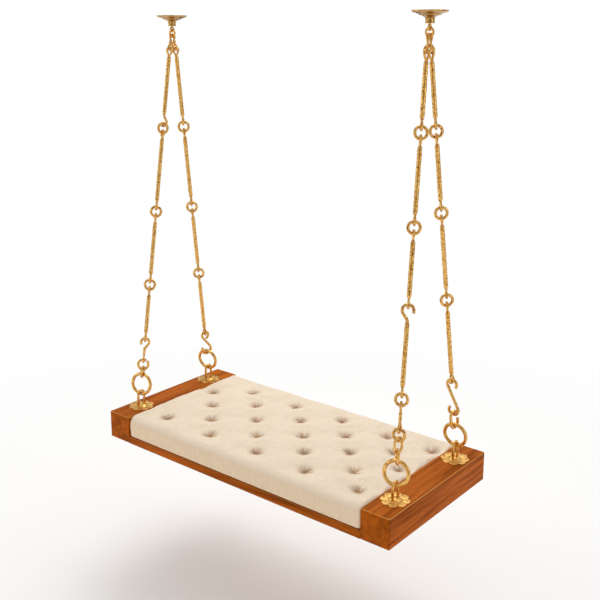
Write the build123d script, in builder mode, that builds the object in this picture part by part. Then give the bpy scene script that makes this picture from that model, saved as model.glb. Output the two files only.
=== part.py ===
"""Jhoola swing: a cushioned wooden seat hung from two ceiling hangers by four brass chains.

Millimetres. X runs along the seat, Y to the rear, Z up. The origin is the centre of the seat's underside.
"""
import os
from math import asin, cos, radians, sin, sqrt

from build123d import *

# Seat frame
SEAT_LENGTH = 1340.0
SEAT_DEPTH = 614.0
BEAM_WIDTH = 112.0
BEAM_HEIGHT = 107.0
BEAM_ARRIS = 2.5
RAIL_HEIGHT = 28.0
RAIL_DEPTH = 60.0
TENON_LENGTH = 32.0
TENON_HEIGHT = 14.0
TENON_SHOULDER = 8.0
JOINT_CLEARANCE = 0.2
DECK_THICKNESS = 12.0
DECK_LEDGE = 15.0
SLAT_WIDTH = 62.0
SLAT_COUNT = 4
SCREW_SHANK = 4.0
SCREW_HEAD = 8.0
SCREW_LENGTH = 24.0
SCREWS_PER_SLAT = 4

# Cushion
CUSHION_GAP = 0.5
CUSHION_RISE = 10.0
CUSHION_TOP_ROUND = 30.0
CUSHION_BOTTOM_ROUND = 7.0
CUSHION_END_ROUND = 6.0
DIMPLE_SPHERE = 48.0
DIMPLE_DEPTH = 18.0
# Tufts in rows: each row's place across the seat, and its tufts' places along it, as shares of the half sizes
TUFT_ROWS = {
    -0.66: (-0.805, -0.387, 0.036, 0.447, 0.848),
    -0.32: (-0.555, -0.125, 0.288, 0.684),
    0.02: (-0.725, -0.295, 0.122, 0.514, 0.889),
    0.36: (-0.898, -0.466, -0.048, 0.343, 0.730),
    0.68: (-0.653, -0.240, 0.180, 0.564, 0.913),
}

# Staples and their plates on the end beams
STAPLE_INSET = 115.0
STAPLE_WIRE = 10.0
STAPLE_SPREAD = 31.0
STAPLE_RISE = 65.0
STAPLE_LEG_END = 4.0
LEG_CLEARANCE = 0.2
NUT_RECESS_DEPTH = 17.0
NUT_RECESS_WIDTH = 24.0
NUT_ACROSS_FLATS = 16.0
NUT_HEIGHT = 8.0
WASHER_WIDTH = 21.0
WASHER_THICKNESS = 2.0
PLATE_THICKNESS = 2.5
PETAL_COUNT = 8
PETAL_CIRCLE = 35.0
PETAL_RADIUS = 16.5
PLATE_CORE_RADIUS = 36.0
DOME_RADIUS = 23.0
DOME_HEIGHT = 6.0
DOME_SPHERE = (DOME_RADIUS**2 + DOME_HEIGHT**2) / (2 * DOME_HEIGHT)
NAIL_CIRCLE = 39.0
NAIL_SHANK = 2.0
NAIL_LENGTH = 16.0
NAIL_HEAD_RADIUS = 3.2
NAIL_HEAD_HEIGHT = 1.6

# Ceiling hangers
CEILING_HEIGHT = 1650.0
HANGER_SPACING = 1148.0
CANOPY_WIDTH = 114.0
CANOPY_RIM = 5.0
CANOPY_DEPTH = 22.0
CANOPY_STEP_WIDTH = 66.0
CANOPY_WALL = 1.6
COLLAR_WIDTH = 30.0
COLLAR_HEIGHT = 18.0
CEILING_PLATE_WIDTH = 96.0
CEILING_PLATE_THICKNESS = 5.0
CEILING_BOSS_WIDTH = 22.0
CEILING_BOSS_HEIGHT = 9.0
CEILING_HOLE_CIRCLE = 70.0
CEILING_HOLE_WIDTH = 9.0
CEILING_HOLE_COUNT = 4
SHANK_WIDTH = 8.0
SHANK_CLEARANCE = 0.1
EYE_WIRE = 6.5
EYE_RADIUS = 8.25
EYE_DROP = 52.5
TOP_RING_WIRE = 7.5
TOP_RING_RADIUS = 13.5
TOP_RING_TURN = 180.0

# Chains: sizes are of the wire's centre line
PLAY = 0.5
TWISTED_PLAY = 1.0
SLANTED_PLAY = 1.5
LINK_SPREAD = 4.2
LINK_SPLAY = 22.0
LINK_WIRE = 7.0
LINK_LENGTH = 44.0
LINK_WIDTH = 18.0
UPPER_RING_WIRE = 7.5
UPPER_RING_RADIUS = 13.5
ROD_STEM = 16.0
ROD_NECK = 9.5
NECK_TAPER = 9.0
ROD_EYE_WIRE = 9.5
ROD_EYE_RADIUS = 11.25
ROD_EYE_NECK = 23.0
EYE_ROUNDING = 0.46
CHAIN_RING_WIRE = 10.5
CHAIN_RING_RADIUS = 19.5
BIG_RING_WIRE = 13.0
BIG_RING_RADIUS = 41.0
HOOK_WIRE = 11.0
HOOK_REACH = 2.7
SMALL_LINK_WIRE = 9.0
SMALL_LINK_WIDTH = 30.0
FRONT_LEFT_HOOK_LENGTH = 99.0
FRONT_LEFT_HOOK_RADIUS = 16.0
FRONT_LEFT_LINK_LENGTH = 42.0
C_LINK_RADIUS = 20.0
REAR_LEFT_HOOK_LENGTH = 100.0
REAR_LEFT_HOOK_LOOP = 15.0
REAR_LEFT_HOOK_RADIUS = 20.5
FRONT_RIGHT_LINK_LENGTH = 49.0
CONNECTOR_LENGTH = 98.0
CONNECTOR_STEM = 12.0
CROOK_RADIUS = 18.5
CROOK_WIRE = 11.0
REAR_RIGHT_HOOK_LENGTH = 134.0
REAR_RIGHT_HOOK_RADIUS = 17.5
TALL_C_LINK_LENGTH = 62.0
TALL_C_LINK_RADIUS = 16.0
OPEN_HOOK_RADIUS = 14.5
OPEN_HOOK_WIRE = 10.0

# Where the ring joints and the crook of each chain lie, as shares of its length from the top
RING_SHARES = {
    "front_left": (0.2546, 0.4853, 0.6921),
    "rear_left": (0.2567, 0.4923, 0.6977),
    "front_right": (0.2145, 0.4220),
    "rear_right": (0.2173, 0.4079, 0.6225),
}
CROOK_SHARE = 0.5936

# How the pieces are turned about their chain, in degrees from the rear towards the right
LINK_TURN = 88.0
UPPER_RING_TURN = 188.0
TOP_EYE_TURN = 98.0
FACE_TURN = 138.0
EDGE_TURN = 52.0
BIG_RING_TURN = {"front_left": 164.0, "rear_left": 169.0, "front_right": 165.0, "rear_right": 178.0}
C_LINK_TURN = 132.0
QUESTION_EYE_TURN = 42.0
SMALL_LINK_TURN = 62.0
OPEN_HOOK_TURN = 172.0
HOOKED_RING_TURN = 105.0
HOOKED_EYE_TURN = 20.0
REAR_LEFT_HOOK_TURN = 108.0
REAR_LEFT_FOOT_TURN = 198.0
REAR_RIGHT_HOOK_TURN = 175.0
REAR_RIGHT_FOOT_TURN = 95.0
TALL_LINK_TURN = 105.0
CROOK_TURN = 148.0
CROOK_EYE_TURN = 60.0
CONNECTOR_TURN = 62.0
CONNECTOR_FOOT_TURN = 80.0
HIGH_RING_TURN = 155.0
LOW_RING_TURN = 170.0
HIGH_LINK_TURN = 108.0
LOW_LINK_TURN = 45.0

# Where the open loops are cut, in degrees round the loop
OPEN_HOOK_TIP = 15.0
CROOK_TIP = -25.0
QUESTION_TIP = -35.0
C_LINK_MOUTH_TOP = 58.0
C_LINK_MOUTH_BOTTOM = 22.0
C_LINK_LIP = 42.0
REAR_LEFT_HOOK_TOP_TIP = -80.0
REAR_LEFT_HOOK_FOOT_TIP = 150.0
REAR_RIGHT_HOOK_TOP_TIP = -40.0
REAR_RIGHT_HOOK_FOOT_TIP = 140.0
TALL_LINK_TIP = 25.0

# Derived places
HANGER_X = HANGER_SPACING / 2
STAPLE_X = (SEAT_LENGTH - BEAM_WIDTH) / 2
STAPLE_Y = SEAT_DEPTH / 2 - STAPLE_INSET
PIVOT_HEIGHT = BEAM_HEIGHT + STAPLE_RISE
INNER_HALF = SEAT_LENGTH / 2 - BEAM_WIDTH
EYE_HEIGHT = CEILING_HEIGHT - EYE_DROP
RING_TOP_HEIGHT = EYE_HEIGHT - EYE_RADIUS + EYE_WIRE / 2 + PLAY + TOP_RING_WIRE / 2
RING_CENTRE_HEIGHT = RING_TOP_HEIGHT - TOP_RING_RADIUS
RING_SAG = TOP_RING_RADIUS - sqrt(TOP_RING_RADIUS**2 - LINK_SPREAD**2)
LINK_SEAT = RING_TOP_HEIGHT - 2 * TOP_RING_RADIUS + RING_SAG

SIDES = {"left": -1, "right": 1}
ENDS = {"front": -1, "rear": 1}

os.makedirs("parts", exist_ok=True)


def save(builder, name):
    """Label a finished piece and write it."""
    builder.part.label = name
    export_step(builder.part, f"parts/{name}.step")


def on_circle(centre, radius, angle):
    """A point on a circle, in a plane's own coordinates."""
    return (centre[0] + radius * cos(radians(angle)), centre[1] + radius * sin(radians(angle)))


def facing(point, up, turn):
    """The plane of a wire shape at a point: its Y runs along up, its normal is turned about up."""
    ahead = Vector(sin(radians(turn)), cos(radians(turn)), 0)
    across = up.cross(ahead).normalized()
    return Plane(origin=point, x_dir=across, z_dir=across.cross(up))


def sweep_wire(path, wire):
    """Sweep a round wire along the path that was just drawn."""
    with BuildSketch(Plane(origin=path.line @ 0, z_dir=path.line % 0)) as section:
        Circle(wire / 2)
    sweep(section.sketch, path=path.line)


def round_tip(path, wire):
    """Ease the cut end of a bent wire at the path's start."""
    tip = faces().filter_by(GeomType.PLANE).sort_by_distance(path.line @ 0)[0]
    fillet(tip.edges(), wire * 0.3)


def closed_eye(plane, wire, radius, neck):
    """A forged teardrop eye: its far wire's centre line passes the plane's origin, its neck lies down Y."""
    rim = radius + wire / 2
    bore = radius - wire / 2
    throat = ROD_NECK / 2
    crotch = bore / 3
    with BuildSketch(plane) as outline:
        with Locations((0, -radius)):
            Circle(rim)
        with Locations((0, -radius - neck)):
            Circle(throat)
        make_hull()
    with BuildSketch(plane) as opening:
        with Locations((0, -radius)):
            Circle(bore)
        with Locations((0, -radius - neck * (bore - crotch) / (rim - throat))):
            Circle(crotch)
        make_hull()
    blank = extrude(outline.sketch - opening.sketch, amount=wire / 2, both=True, mode=Mode.PRIVATE)
    faces_across = blank.faces().filter_by(Axis(plane.origin, plane.z_dir))
    add(blank.fillet(wire * EYE_ROUNDING, faces_across.edges()))


def crook(plane, wire, radius, reach, tip_angle):
    """An open hook: over the plane's origin, round its left side and back to the stem's line."""
    lean = asin(radius / (reach - radius))
    touch = (-radius * cos(lean), -radius - radius * sin(lean))
    with BuildLine(plane) as path:
        ThreePointArc(on_circle((0, -radius), radius, tip_angle), (0, 0), touch)
        FilletPolyline(touch, (0, -reach), (0, -reach - wire), radius=wire * 1.4)
    sweep_wire(path, wire)
    round_tip(path, wire)


def stem(top, bottom, thickness, neck):
    """A straight rod between two points, tapered to a neck at each end."""
    length = (bottom - top).length
    down = (bottom - top).normalized()
    lengthwise = facing(top, -down, FACE_TURN)
    with BuildSketch(lengthwise) as profile:
        with BuildLine():
            Polyline(
                (0, 0),
                (neck / 2, 0),
                (thickness / 2, -NECK_TAPER),
                (thickness / 2, NECK_TAPER - length),
                (neck / 2, -length),
                (0, -length),
                close=True,
            )
        make_face()
    revolve(profile.sketch, axis=Axis(top, down))


def next_top(bottom, wire, next_wire, play=PLAY):
    """Where the next piece's top wire lies when it hangs on a wire at this drop."""
    return bottom - (wire + next_wire) / 2 - play


def next_bottom(top, wire, next_wire, play=PLAY):
    """Where the piece above ends when this piece's top wire hangs in it at this drop."""
    return top + (wire + next_wire) / 2 + play


UPPER_RING_TOP = next_top(LINK_LENGTH, LINK_WIRE, UPPER_RING_WIRE, TWISTED_PLAY)
UPPER_RING_BOTTOM = UPPER_RING_TOP + 2 * UPPER_RING_RADIUS
FIRST_ROD_TOP = next_top(UPPER_RING_BOTTOM, UPPER_RING_WIRE, ROD_EYE_WIRE, TWISTED_PLAY)
EYE_TO_RING = CHAIN_RING_RADIUS - (CHAIN_RING_WIRE + ROD_EYE_WIRE) / 2 - PLAY


class Chain:
    """One chain: a splayed link and ring under the top ring, then a straight line to the staple."""

    def __init__(self, end, side):
        self.name = f"{end}_{side}"
        outward = ENDS[end]
        splay = radians(LINK_SPLAY)
        self.splay_up = Vector(0, -outward * sin(splay), cos(splay))
        seat = Vector(SIDES[side] * HANGER_X - outward * LINK_SPREAD, 0, LINK_SEAT)
        self.link_top = seat + self.splay_up * ((TOP_RING_WIRE + LINK_WIRE) / 2 + SLANTED_PLAY)
        knee = self.link_top - self.splay_up * UPPER_RING_BOTTOM
        foot = Vector(SIDES[side] * STAPLE_X, outward * STAPLE_Y, PIVOT_HEIGHT)
        self.up = (knee - foot).normalized()
        self.top = knee + self.up * UPPER_RING_BOTTOM
        self.length = (self.top - foot).length

    def at(self, drop):
        """The point that lies so far down the chain."""
        return self.top - self.up * drop

    def splayed_plane(self, drop, turn):
        return facing(self.link_top - self.splay_up * drop, self.splay_up, turn)

    def plane(self, drop, turn):
        return facing(self.at(drop), self.up, turn)

    def flipped_plane(self, drop, turn):
        return facing(self.at(drop), -self.up, turn)

    def ring_drops(self):
        """Where the chain's joint rings have their centres."""
        return [share * self.length for share in RING_SHARES[self.name]]


CHAINS = {f"{end}_{side}": Chain(end, side) for side in SIDES for end in ENDS}


def ring(plane, radius, wire):
    """A round ring about a plane's origin."""
    with BuildPart(plane) as piece:
        Torus(radius, wire / 2)
    return piece


def chain_ring(chain, drop, turn):
    """A joint ring with its centre at this drop."""
    return ring(chain.plane(drop, turn), CHAIN_RING_RADIUS, CHAIN_RING_WIRE)


def oval_link(plane, length, width, wire):
    """A closed link with straight sides, about a plane's origin."""
    radius = width / 2
    straight = length / 2 - radius
    with BuildPart() as piece:
        with BuildLine(plane) as path:
            Line((radius, -straight), (radius, straight))
            ThreePointArc((radius, straight), (0, straight + radius), (-radius, straight))
            Line((-radius, straight), (-radius, -straight))
            ThreePointArc((-radius, -straight), (0, -straight - radius), (radius, -straight))
        sweep_wire(path, wire)
    return piece


EYE_REACH = ROD_EYE_RADIUS + ROD_EYE_NECK - NECK_TAPER / 2


def rod(chain, top, bottom, top_turn, bottom_turn, thickness=ROD_STEM, head="eye", foot="eye"):
    """A chain rod between the centre lines of its two end wires."""
    stem_top = top + EYE_REACH
    stem_bottom = bottom - EYE_REACH
    with BuildPart() as piece:
        if head == "eye":
            closed_eye(chain.plane(top, top_turn), ROD_EYE_WIRE, ROD_EYE_RADIUS, ROD_EYE_NECK)
        else:
            reach = HOOK_REACH * CROOK_RADIUS
            stem_top = top + reach + NECK_TAPER / 3
            crook(chain.plane(top, top_turn), CROOK_WIRE, CROOK_RADIUS, reach, CROOK_TIP)
        if foot == "eye":
            closed_eye(chain.flipped_plane(bottom, bottom_turn), ROD_EYE_WIRE, ROD_EYE_RADIUS, ROD_EYE_NECK)
        else:
            reach = HOOK_REACH * OPEN_HOOK_RADIUS
            stem_bottom = bottom - reach - NECK_TAPER / 2
            foot_plane = chain.flipped_plane(bottom, bottom_turn)
            crook(foot_plane, OPEN_HOOK_WIRE, OPEN_HOOK_RADIUS, reach, OPEN_HOOK_TIP)
        stem(chain.at(stem_top), chain.at(stem_bottom), thickness, ROD_NECK)
    return piece


def s_hook(plane, length, loop, radius, open_angle, tip_angle):
    """An S-hook down from a plane's origin: its upper loop carries it, its lower one carries the next ring."""
    upper = (0, -loop)
    lower = (0, -length + radius)
    lean = asin((loop + radius) / (length - loop - radius))
    out = (cos(lean), sin(lean))
    leave = (upper[0] - loop * out[0], upper[1] - loop * out[1])
    meet = (lower[0] + radius * out[0], lower[1] + radius * out[1])
    with BuildPart() as piece:
        with BuildLine(plane) as path:
            ThreePointArc(on_circle(upper, loop, open_angle), (0, 0), leave)
            Line(leave, meet)
            ThreePointArc(meet, (0, -length), on_circle(lower, radius, tip_angle))
        sweep_wire(path, HOOK_WIRE)
        round_tip(path, HOOK_WIRE)
    return piece


# ---------------------------------------------------------------- seat frame
def end_beam(side):
    """Solid end beam with mortises, bores for the staple legs, nut recesses and nail holes."""
    with BuildPart() as beam:
        with BuildSketch():
            with Locations((SIDES[side] * STAPLE_X, 0)):
                Rectangle(BEAM_WIDTH, SEAT_DEPTH)
        extrude(amount=BEAM_HEIGHT)
        fillet(beam.edges(), BEAM_ARRIS)
        mortise = (
            2 * (TENON_LENGTH + JOINT_CLEARANCE),
            RAIL_DEPTH - 2 * TENON_SHOULDER + 2 * JOINT_CLEARANCE,
            TENON_HEIGHT + 2 * JOINT_CLEARANCE,
        )
        rail_y = (SEAT_DEPTH - RAIL_DEPTH) / 2
        for end in ENDS.values():
            with Locations((SIDES[side] * INNER_HALF, end * rail_y, RAIL_HEIGHT / 2)):
                Box(*mortise, mode=Mode.SUBTRACT)
            staple_y = end * STAPLE_Y
            with BuildSketch():
                with Locations((SIDES[side] * STAPLE_X, staple_y)):
                    with GridLocations(0, STAPLE_SPREAD, 1, 2):
                        Circle(STAPLE_WIRE / 2 + LEG_CLEARANCE)
            extrude(amount=BEAM_HEIGHT, mode=Mode.SUBTRACT)
            with BuildSketch():
                with Locations((SIDES[side] * STAPLE_X, staple_y)):
                    with GridLocations(0, STAPLE_SPREAD, 1, 2):
                        Circle(NUT_RECESS_WIDTH / 2)
            extrude(amount=NUT_RECESS_DEPTH, mode=Mode.SUBTRACT)
            with BuildSketch(Plane.XY.offset(BEAM_HEIGHT)):
                with Locations((SIDES[side] * STAPLE_X, staple_y)):
                    with PolarLocations(NAIL_CIRCLE, PETAL_COUNT, start_angle=180 / PETAL_COUNT):
                        Circle(NAIL_SHANK / 2 + JOINT_CLEARANCE / 4)
            extrude(amount=PLATE_THICKNESS - NAIL_LENGTH - JOINT_CLEARANCE, mode=Mode.SUBTRACT)
    save(beam, f"end_beam_{side}")


def rail(end):
    """Low rail between the beams, with a tenon at each end and a rebate for the deck."""
    middle = ENDS[end] * (SEAT_DEPTH - RAIL_DEPTH) / 2
    inner = ENDS[end] * (SEAT_DEPTH / 2 - RAIL_DEPTH)
    with BuildPart() as piece:
        with BuildSketch():
            with Locations((0, middle)):
                Rectangle(2 * INNER_HALF - JOINT_CLEARANCE, RAIL_DEPTH)
        extrude(amount=RAIL_HEIGHT)
        with Locations((0, middle, RAIL_HEIGHT / 2)):
            Box(2 * (INNER_HALF + TENON_LENGTH), RAIL_DEPTH - 2 * TENON_SHOULDER, TENON_HEIGHT)
        with Locations((0, inner, RAIL_HEIGHT - DECK_THICKNESS / 2)):
            Box(2 * INNER_HALF, 2 * DECK_LEDGE, DECK_THICKNESS, mode=Mode.SUBTRACT)
    save(piece, f"{end}_rail")


DECK_HALF_DEPTH = SEAT_DEPTH / 2 - RAIL_DEPTH + DECK_LEDGE - JOINT_CLEARANCE
SLAT_PITCH = (2 * INNER_HALF - SLAT_WIDTH) / SLAT_COUNT
SLAT_LENGTH = SEAT_DEPTH - 2 * RAIL_DEPTH - 2 * JOINT_CLEARANCE
SCREW_PITCH = SLAT_LENGTH / SCREWS_PER_SLAT


def screw_points():
    """Deck screws stand in rows along the slats."""
    return GridLocations(SLAT_PITCH, SCREW_PITCH, SLAT_COUNT, SCREWS_PER_SLAT)


for side_name in SIDES:
    end_beam(side_name)
for end_name in ENDS:
    rail(end_name)

with BuildPart() as seat_deck:
    with BuildSketch(Plane.XY.offset(RAIL_HEIGHT - DECK_THICKNESS)):
        Rectangle(2 * (INNER_HALF - JOINT_CLEARANCE), 2 * DECK_HALF_DEPTH)
    extrude(amount=DECK_THICKNESS)
    with BuildSketch(Plane.XY.offset(RAIL_HEIGHT)):
        with screw_points():
            Circle(SCREW_HEAD / 2)
    extrude(amount=-(SCREW_HEAD - SCREW_SHANK) / 2, taper=45, mode=Mode.SUBTRACT)
    with BuildSketch(Plane.XY.offset(RAIL_HEIGHT)):
        with screw_points():
            Circle(SCREW_SHANK / 2)
    extrude(amount=-DECK_THICKNESS, mode=Mode.SUBTRACT)
save(seat_deck, "seat_deck")

with BuildPart() as deck_slats:
    with BuildSketch():
        with GridLocations(SLAT_PITCH, 0, SLAT_COUNT, 1):
            Rectangle(SLAT_WIDTH, SLAT_LENGTH)
    extrude(amount=RAIL_HEIGHT - DECK_THICKNESS)
    with BuildSketch(Plane.XY.offset(RAIL_HEIGHT - DECK_THICKNESS)):
        with screw_points():
            Circle(SCREW_SHANK / 2)
    extrude(amount=DECK_THICKNESS - SCREW_LENGTH, mode=Mode.SUBTRACT)
save(deck_slats, "deck_slats")

with BuildPart() as deck_screws:
    with BuildSketch(Plane.XY.offset(RAIL_HEIGHT)):
        with screw_points():
            Circle(SCREW_HEAD / 2)
    extrude(amount=-(SCREW_HEAD - SCREW_SHANK) / 2, taper=45)
    with BuildSketch(Plane.XY.offset(RAIL_HEIGHT)):
        with screw_points():
            Circle(SCREW_SHANK / 2)
    extrude(amount=-SCREW_LENGTH)
save(deck_screws, "deck_screws")


def tuft_points(height):
    """Where the tufts pull the cushion down, at a height."""
    half_depth = SEAT_DEPTH / 2
    return [(x * INNER_HALF, y * half_depth, height) for y, row in TUFT_ROWS.items() for x in row]


CUSHION_BOTTOM = RAIL_HEIGHT + CUSHION_GAP
CUSHION_TOP = BEAM_HEIGHT + CUSHION_RISE
CUSHION_HALF = INNER_HALF - CUSHION_GAP
with BuildPart() as cushion:
    with BuildSketch(Plane.XY.offset(CUSHION_BOTTOM)):
        Rectangle(2 * CUSHION_HALF, SEAT_DEPTH - 2 * CUSHION_GAP)
    extrude(amount=CUSHION_TOP - CUSHION_BOTTOM)
    long_edges = cushion.edges().filter_by(Axis.X).group_by(Axis.Z)
    fillet(long_edges[-1], CUSHION_TOP_ROUND)
    fillet(long_edges[0], CUSHION_BOTTOM_ROUND)
    fillet(cushion.faces().sort_by(Axis.X)[-1].edges(), CUSHION_END_ROUND)
    fillet(cushion.faces().sort_by(Axis.X)[0].edges(), CUSHION_END_ROUND)
    with Locations(tuft_points(CUSHION_TOP + DIMPLE_SPHERE - DIMPLE_DEPTH)):
        Sphere(DIMPLE_SPHERE, mode=Mode.SUBTRACT)
save(cushion, "cushion")


# ---------------------------------------------------------------- staples and plates
def staple_locations(height=0.0):
    """The four places where a staple stands, at a height."""
    return [(x * STAPLE_X, y * STAPLE_Y, height) for x in SIDES.values() for y in ENDS.values()]


def corner_plate(end, side):
    """Eight-petalled plate with a low dome, bored for the staple's legs and the nails."""
    centre = (SIDES[side] * STAPLE_X, ENDS[end] * STAPLE_Y)
    with BuildPart() as plate:
        with BuildSketch(Plane.XY.offset(BEAM_HEIGHT)):
            with Locations(centre):
                Circle(PLATE_CORE_RADIUS)
                with PolarLocations(PETAL_CIRCLE, PETAL_COUNT, start_angle=180 / PETAL_COUNT):
                    Circle(PETAL_RADIUS)
        extrude(amount=PLATE_THICKNESS)
        dome_plane = Plane(
            origin=(*centre, BEAM_HEIGHT + PLATE_THICKNESS), x_dir=(1, 0, 0), z_dir=(0, -1, 0)
        )
        with BuildSketch(dome_plane):
            with BuildLine():
                Line((0, 0), (DOME_RADIUS, 0))
                RadiusArc((DOME_RADIUS, 0), (0, DOME_HEIGHT), -DOME_SPHERE)
                Line((0, DOME_HEIGHT), (0, 0))
            make_face()
        revolve(axis=Axis((*centre, 0), (0, 0, 1)))
        with BuildSketch(Plane.XY.offset(BEAM_HEIGHT)):
            with Locations(centre):
                with GridLocations(0, STAPLE_SPREAD, 1, 2):
                    Circle(STAPLE_WIRE / 2 + LEG_CLEARANCE)
                with PolarLocations(NAIL_CIRCLE, PETAL_COUNT, start_angle=180 / PETAL_COUNT):
                    Circle(NAIL_SHANK / 2 + JOINT_CLEARANCE / 4)
        extrude(amount=PLATE_THICKNESS + DOME_HEIGHT, mode=Mode.SUBTRACT)
    save(plate, f"{end}_{side}_plate")


for side_name in SIDES:
    for end_name in ENDS:
        corner_plate(end_name, side_name)

with BuildPart() as staples:
    for x, y, z in staple_locations(PIVOT_HEIGHT):
        shoulder = STAPLE_SPREAD / 2
        with BuildLine(Plane(origin=(x, y, z), x_dir=(0, 1, 0), z_dir=(1, 0, 0))) as bow:
            Line((-shoulder, STAPLE_LEG_END - z), (-shoulder, -shoulder))
            ThreePointArc((-shoulder, -shoulder), (0, 0), (shoulder, -shoulder))
            Line((shoulder, -shoulder), (shoulder, STAPLE_LEG_END - z))
        sweep_wire(bow, STAPLE_WIRE)
save(staples, "staples")

with BuildPart() as staple_washers:
    with BuildSketch(Plane.XY.offset(NUT_RECESS_DEPTH)):
        with Locations(staple_locations()):
            with GridLocations(0, STAPLE_SPREAD, 1, 2):
                Circle(WASHER_WIDTH / 2)
                Circle(STAPLE_WIRE / 2 + LEG_CLEARANCE, mode=Mode.SUBTRACT)
    extrude(amount=-WASHER_THICKNESS)
save(staple_washers, "staple_washers")

with BuildPart() as staple_nuts:
    with BuildSketch(Plane.XY.offset(NUT_RECESS_DEPTH - WASHER_THICKNESS)):
        with Locations(staple_locations()):
            with GridLocations(0, STAPLE_SPREAD, 1, 2):
                RegularPolygon(NUT_ACROSS_FLATS / 2, 6, major_radius=False)
                Circle(STAPLE_WIRE / 2 + JOINT_CLEARANCE / 4, mode=Mode.SUBTRACT)
    extrude(amount=-NUT_HEIGHT)
save(staple_nuts, "staple_nuts")

with BuildPart() as plate_nails:
    plate_top = BEAM_HEIGHT + PLATE_THICKNESS
    for x, y, z in staple_locations(plate_top):
        with Locations((x, y, z)):
            with PolarLocations(NAIL_CIRCLE, PETAL_COUNT, start_angle=180 / PETAL_COUNT):
                Cylinder(NAIL_SHANK / 2, NAIL_LENGTH, align=(Align.CENTER, Align.CENTER, Align.MAX))
                Cone(
                    NAIL_HEAD_RADIUS,
                    NAIL_HEAD_RADIUS / 2,
                    NAIL_HEAD_HEIGHT,
                    align=(Align.CENTER, Align.CENTER, Align.MIN),
                )
save(plate_nails, "plate_nails")


# ---------------------------------------------------------------- ceiling hangers
def hanger(side):
    """Ceiling plate, canopy, collar and eye bolt of one side."""
    x = SIDES[side] * HANGER_X
    axis = Axis((x, 0, 0), (0, 0, 1))
    face = Plane(origin=(x, 0, CEILING_HEIGHT), x_dir=(1, 0, 0), z_dir=(0, -1, 0))
    plate_low = -CEILING_PLATE_THICKNESS
    boss_low = plate_low - CEILING_BOSS_HEIGHT
    bore = SHANK_WIDTH / 2 + SHANK_CLEARANCE

    with BuildPart() as plate:
        with BuildSketch(Plane.XY.offset(CEILING_HEIGHT)):
            with Locations((x, 0)):
                Circle(CEILING_PLATE_WIDTH / 2)
                with PolarLocations(CEILING_HOLE_CIRCLE / 2, CEILING_HOLE_COUNT, start_angle=45):
                    Circle(CEILING_HOLE_WIDTH / 2, mode=Mode.SUBTRACT)
        extrude(amount=plate_low)
        with BuildSketch(Plane.XY.offset(CEILING_HEIGHT + plate_low)):
            with Locations((x, 0)):
                Circle(CEILING_BOSS_WIDTH / 2)
        extrude(amount=-CEILING_BOSS_HEIGHT)
        with BuildSketch(Plane.XY.offset(CEILING_HEIGHT + boss_low)):
            with Locations((x, 0)):
                Circle(bore)
        extrude(amount=CEILING_BOSS_HEIGHT, mode=Mode.SUBTRACT)
    save(plate, f"ceiling_plate_{side}")

    rim = CANOPY_WIDTH / 2
    step = CANOPY_STEP_WIDTH / 2
    throat = COLLAR_WIDTH / 2 + CANOPY_WALL
    shoulder_depth = CANOPY_DEPTH * 0.55
    with BuildPart() as canopy:
        with BuildSketch(face):
            with BuildLine():
                Polyline(
                    (rim, 0),
                    (rim, -CANOPY_RIM),
                    (rim - CANOPY_RIM / 2, -CANOPY_RIM * 1.4),
                    (step + CANOPY_WALL, -shoulder_depth),
                    (step, -shoulder_depth - 2 * CANOPY_WALL),
                    (throat, -CANOPY_DEPTH),
                    (bore, -CANOPY_DEPTH),
                    (bore, -CANOPY_DEPTH + CANOPY_WALL),
                    (throat, -CANOPY_DEPTH + CANOPY_WALL),
                    (step - CANOPY_WALL, -shoulder_depth - CANOPY_WALL / 2),
                    (step, -shoulder_depth + CANOPY_WALL),
                    (rim - CANOPY_WALL, -CANOPY_RIM),
                    (rim - CANOPY_WALL, 0),
                    close=True,
                )
            make_face()
        revolve(axis=axis)
    save(canopy, f"canopy_{side}")

    collar_top = -CANOPY_DEPTH
    collar_low = collar_top - COLLAR_HEIGHT
    flare = COLLAR_WIDTH / 2 + CANOPY_WALL / 2
    with BuildPart() as collar:
        with BuildSketch(face):
            with BuildLine():
                Polyline(
                    (bore, collar_top),
                    (flare, collar_top),
                    (COLLAR_WIDTH / 2, collar_top - COLLAR_HEIGHT / 4),
                    (COLLAR_WIDTH / 2, collar_low + CANOPY_WALL),
                    (COLLAR_WIDTH / 2 - CANOPY_WALL, collar_low),
                    (bore, collar_low),
                    close=True,
                )
            make_face()
        revolve(axis=axis)
    save(collar, f"canopy_collar_{side}")

    eye_plane = Plane(origin=(x, 0, EYE_HEIGHT), x_dir=(0, 1, 0), z_dir=(1, 0, 0))
    shank_top = CEILING_HEIGHT + plate_low
    shank_low = EYE_HEIGHT + EYE_RADIUS
    with BuildPart() as eye_bolt:
        with BuildSketch(Plane.XY.offset(shank_low)):
            with Locations((x, 0)):
                Circle(SHANK_WIDTH / 2)
        extrude(amount=shank_top - shank_low)
        with Locations(eye_plane):
            Torus(EYE_RADIUS, EYE_WIRE / 2)
    save(eye_bolt, f"eye_bolt_{side}")

    ring_plane = facing(Vector(x, 0, RING_CENTRE_HEIGHT), Vector(0, 0, 1), TOP_RING_TURN)
    with BuildPart(ring_plane) as top_ring:
        Torus(TOP_RING_RADIUS, TOP_RING_WIRE / 2)
    save(top_ring, f"top_ring_{side}")


for side_name in SIDES:
    hanger(side_name)


# ---------------------------------------------------------------- chains
def group(pieces, name):
    """Write several separate pieces as one node."""
    with BuildPart() as all_pieces:
        for piece in pieces:
            add(piece.part)
    save(all_pieces, name)


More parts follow.
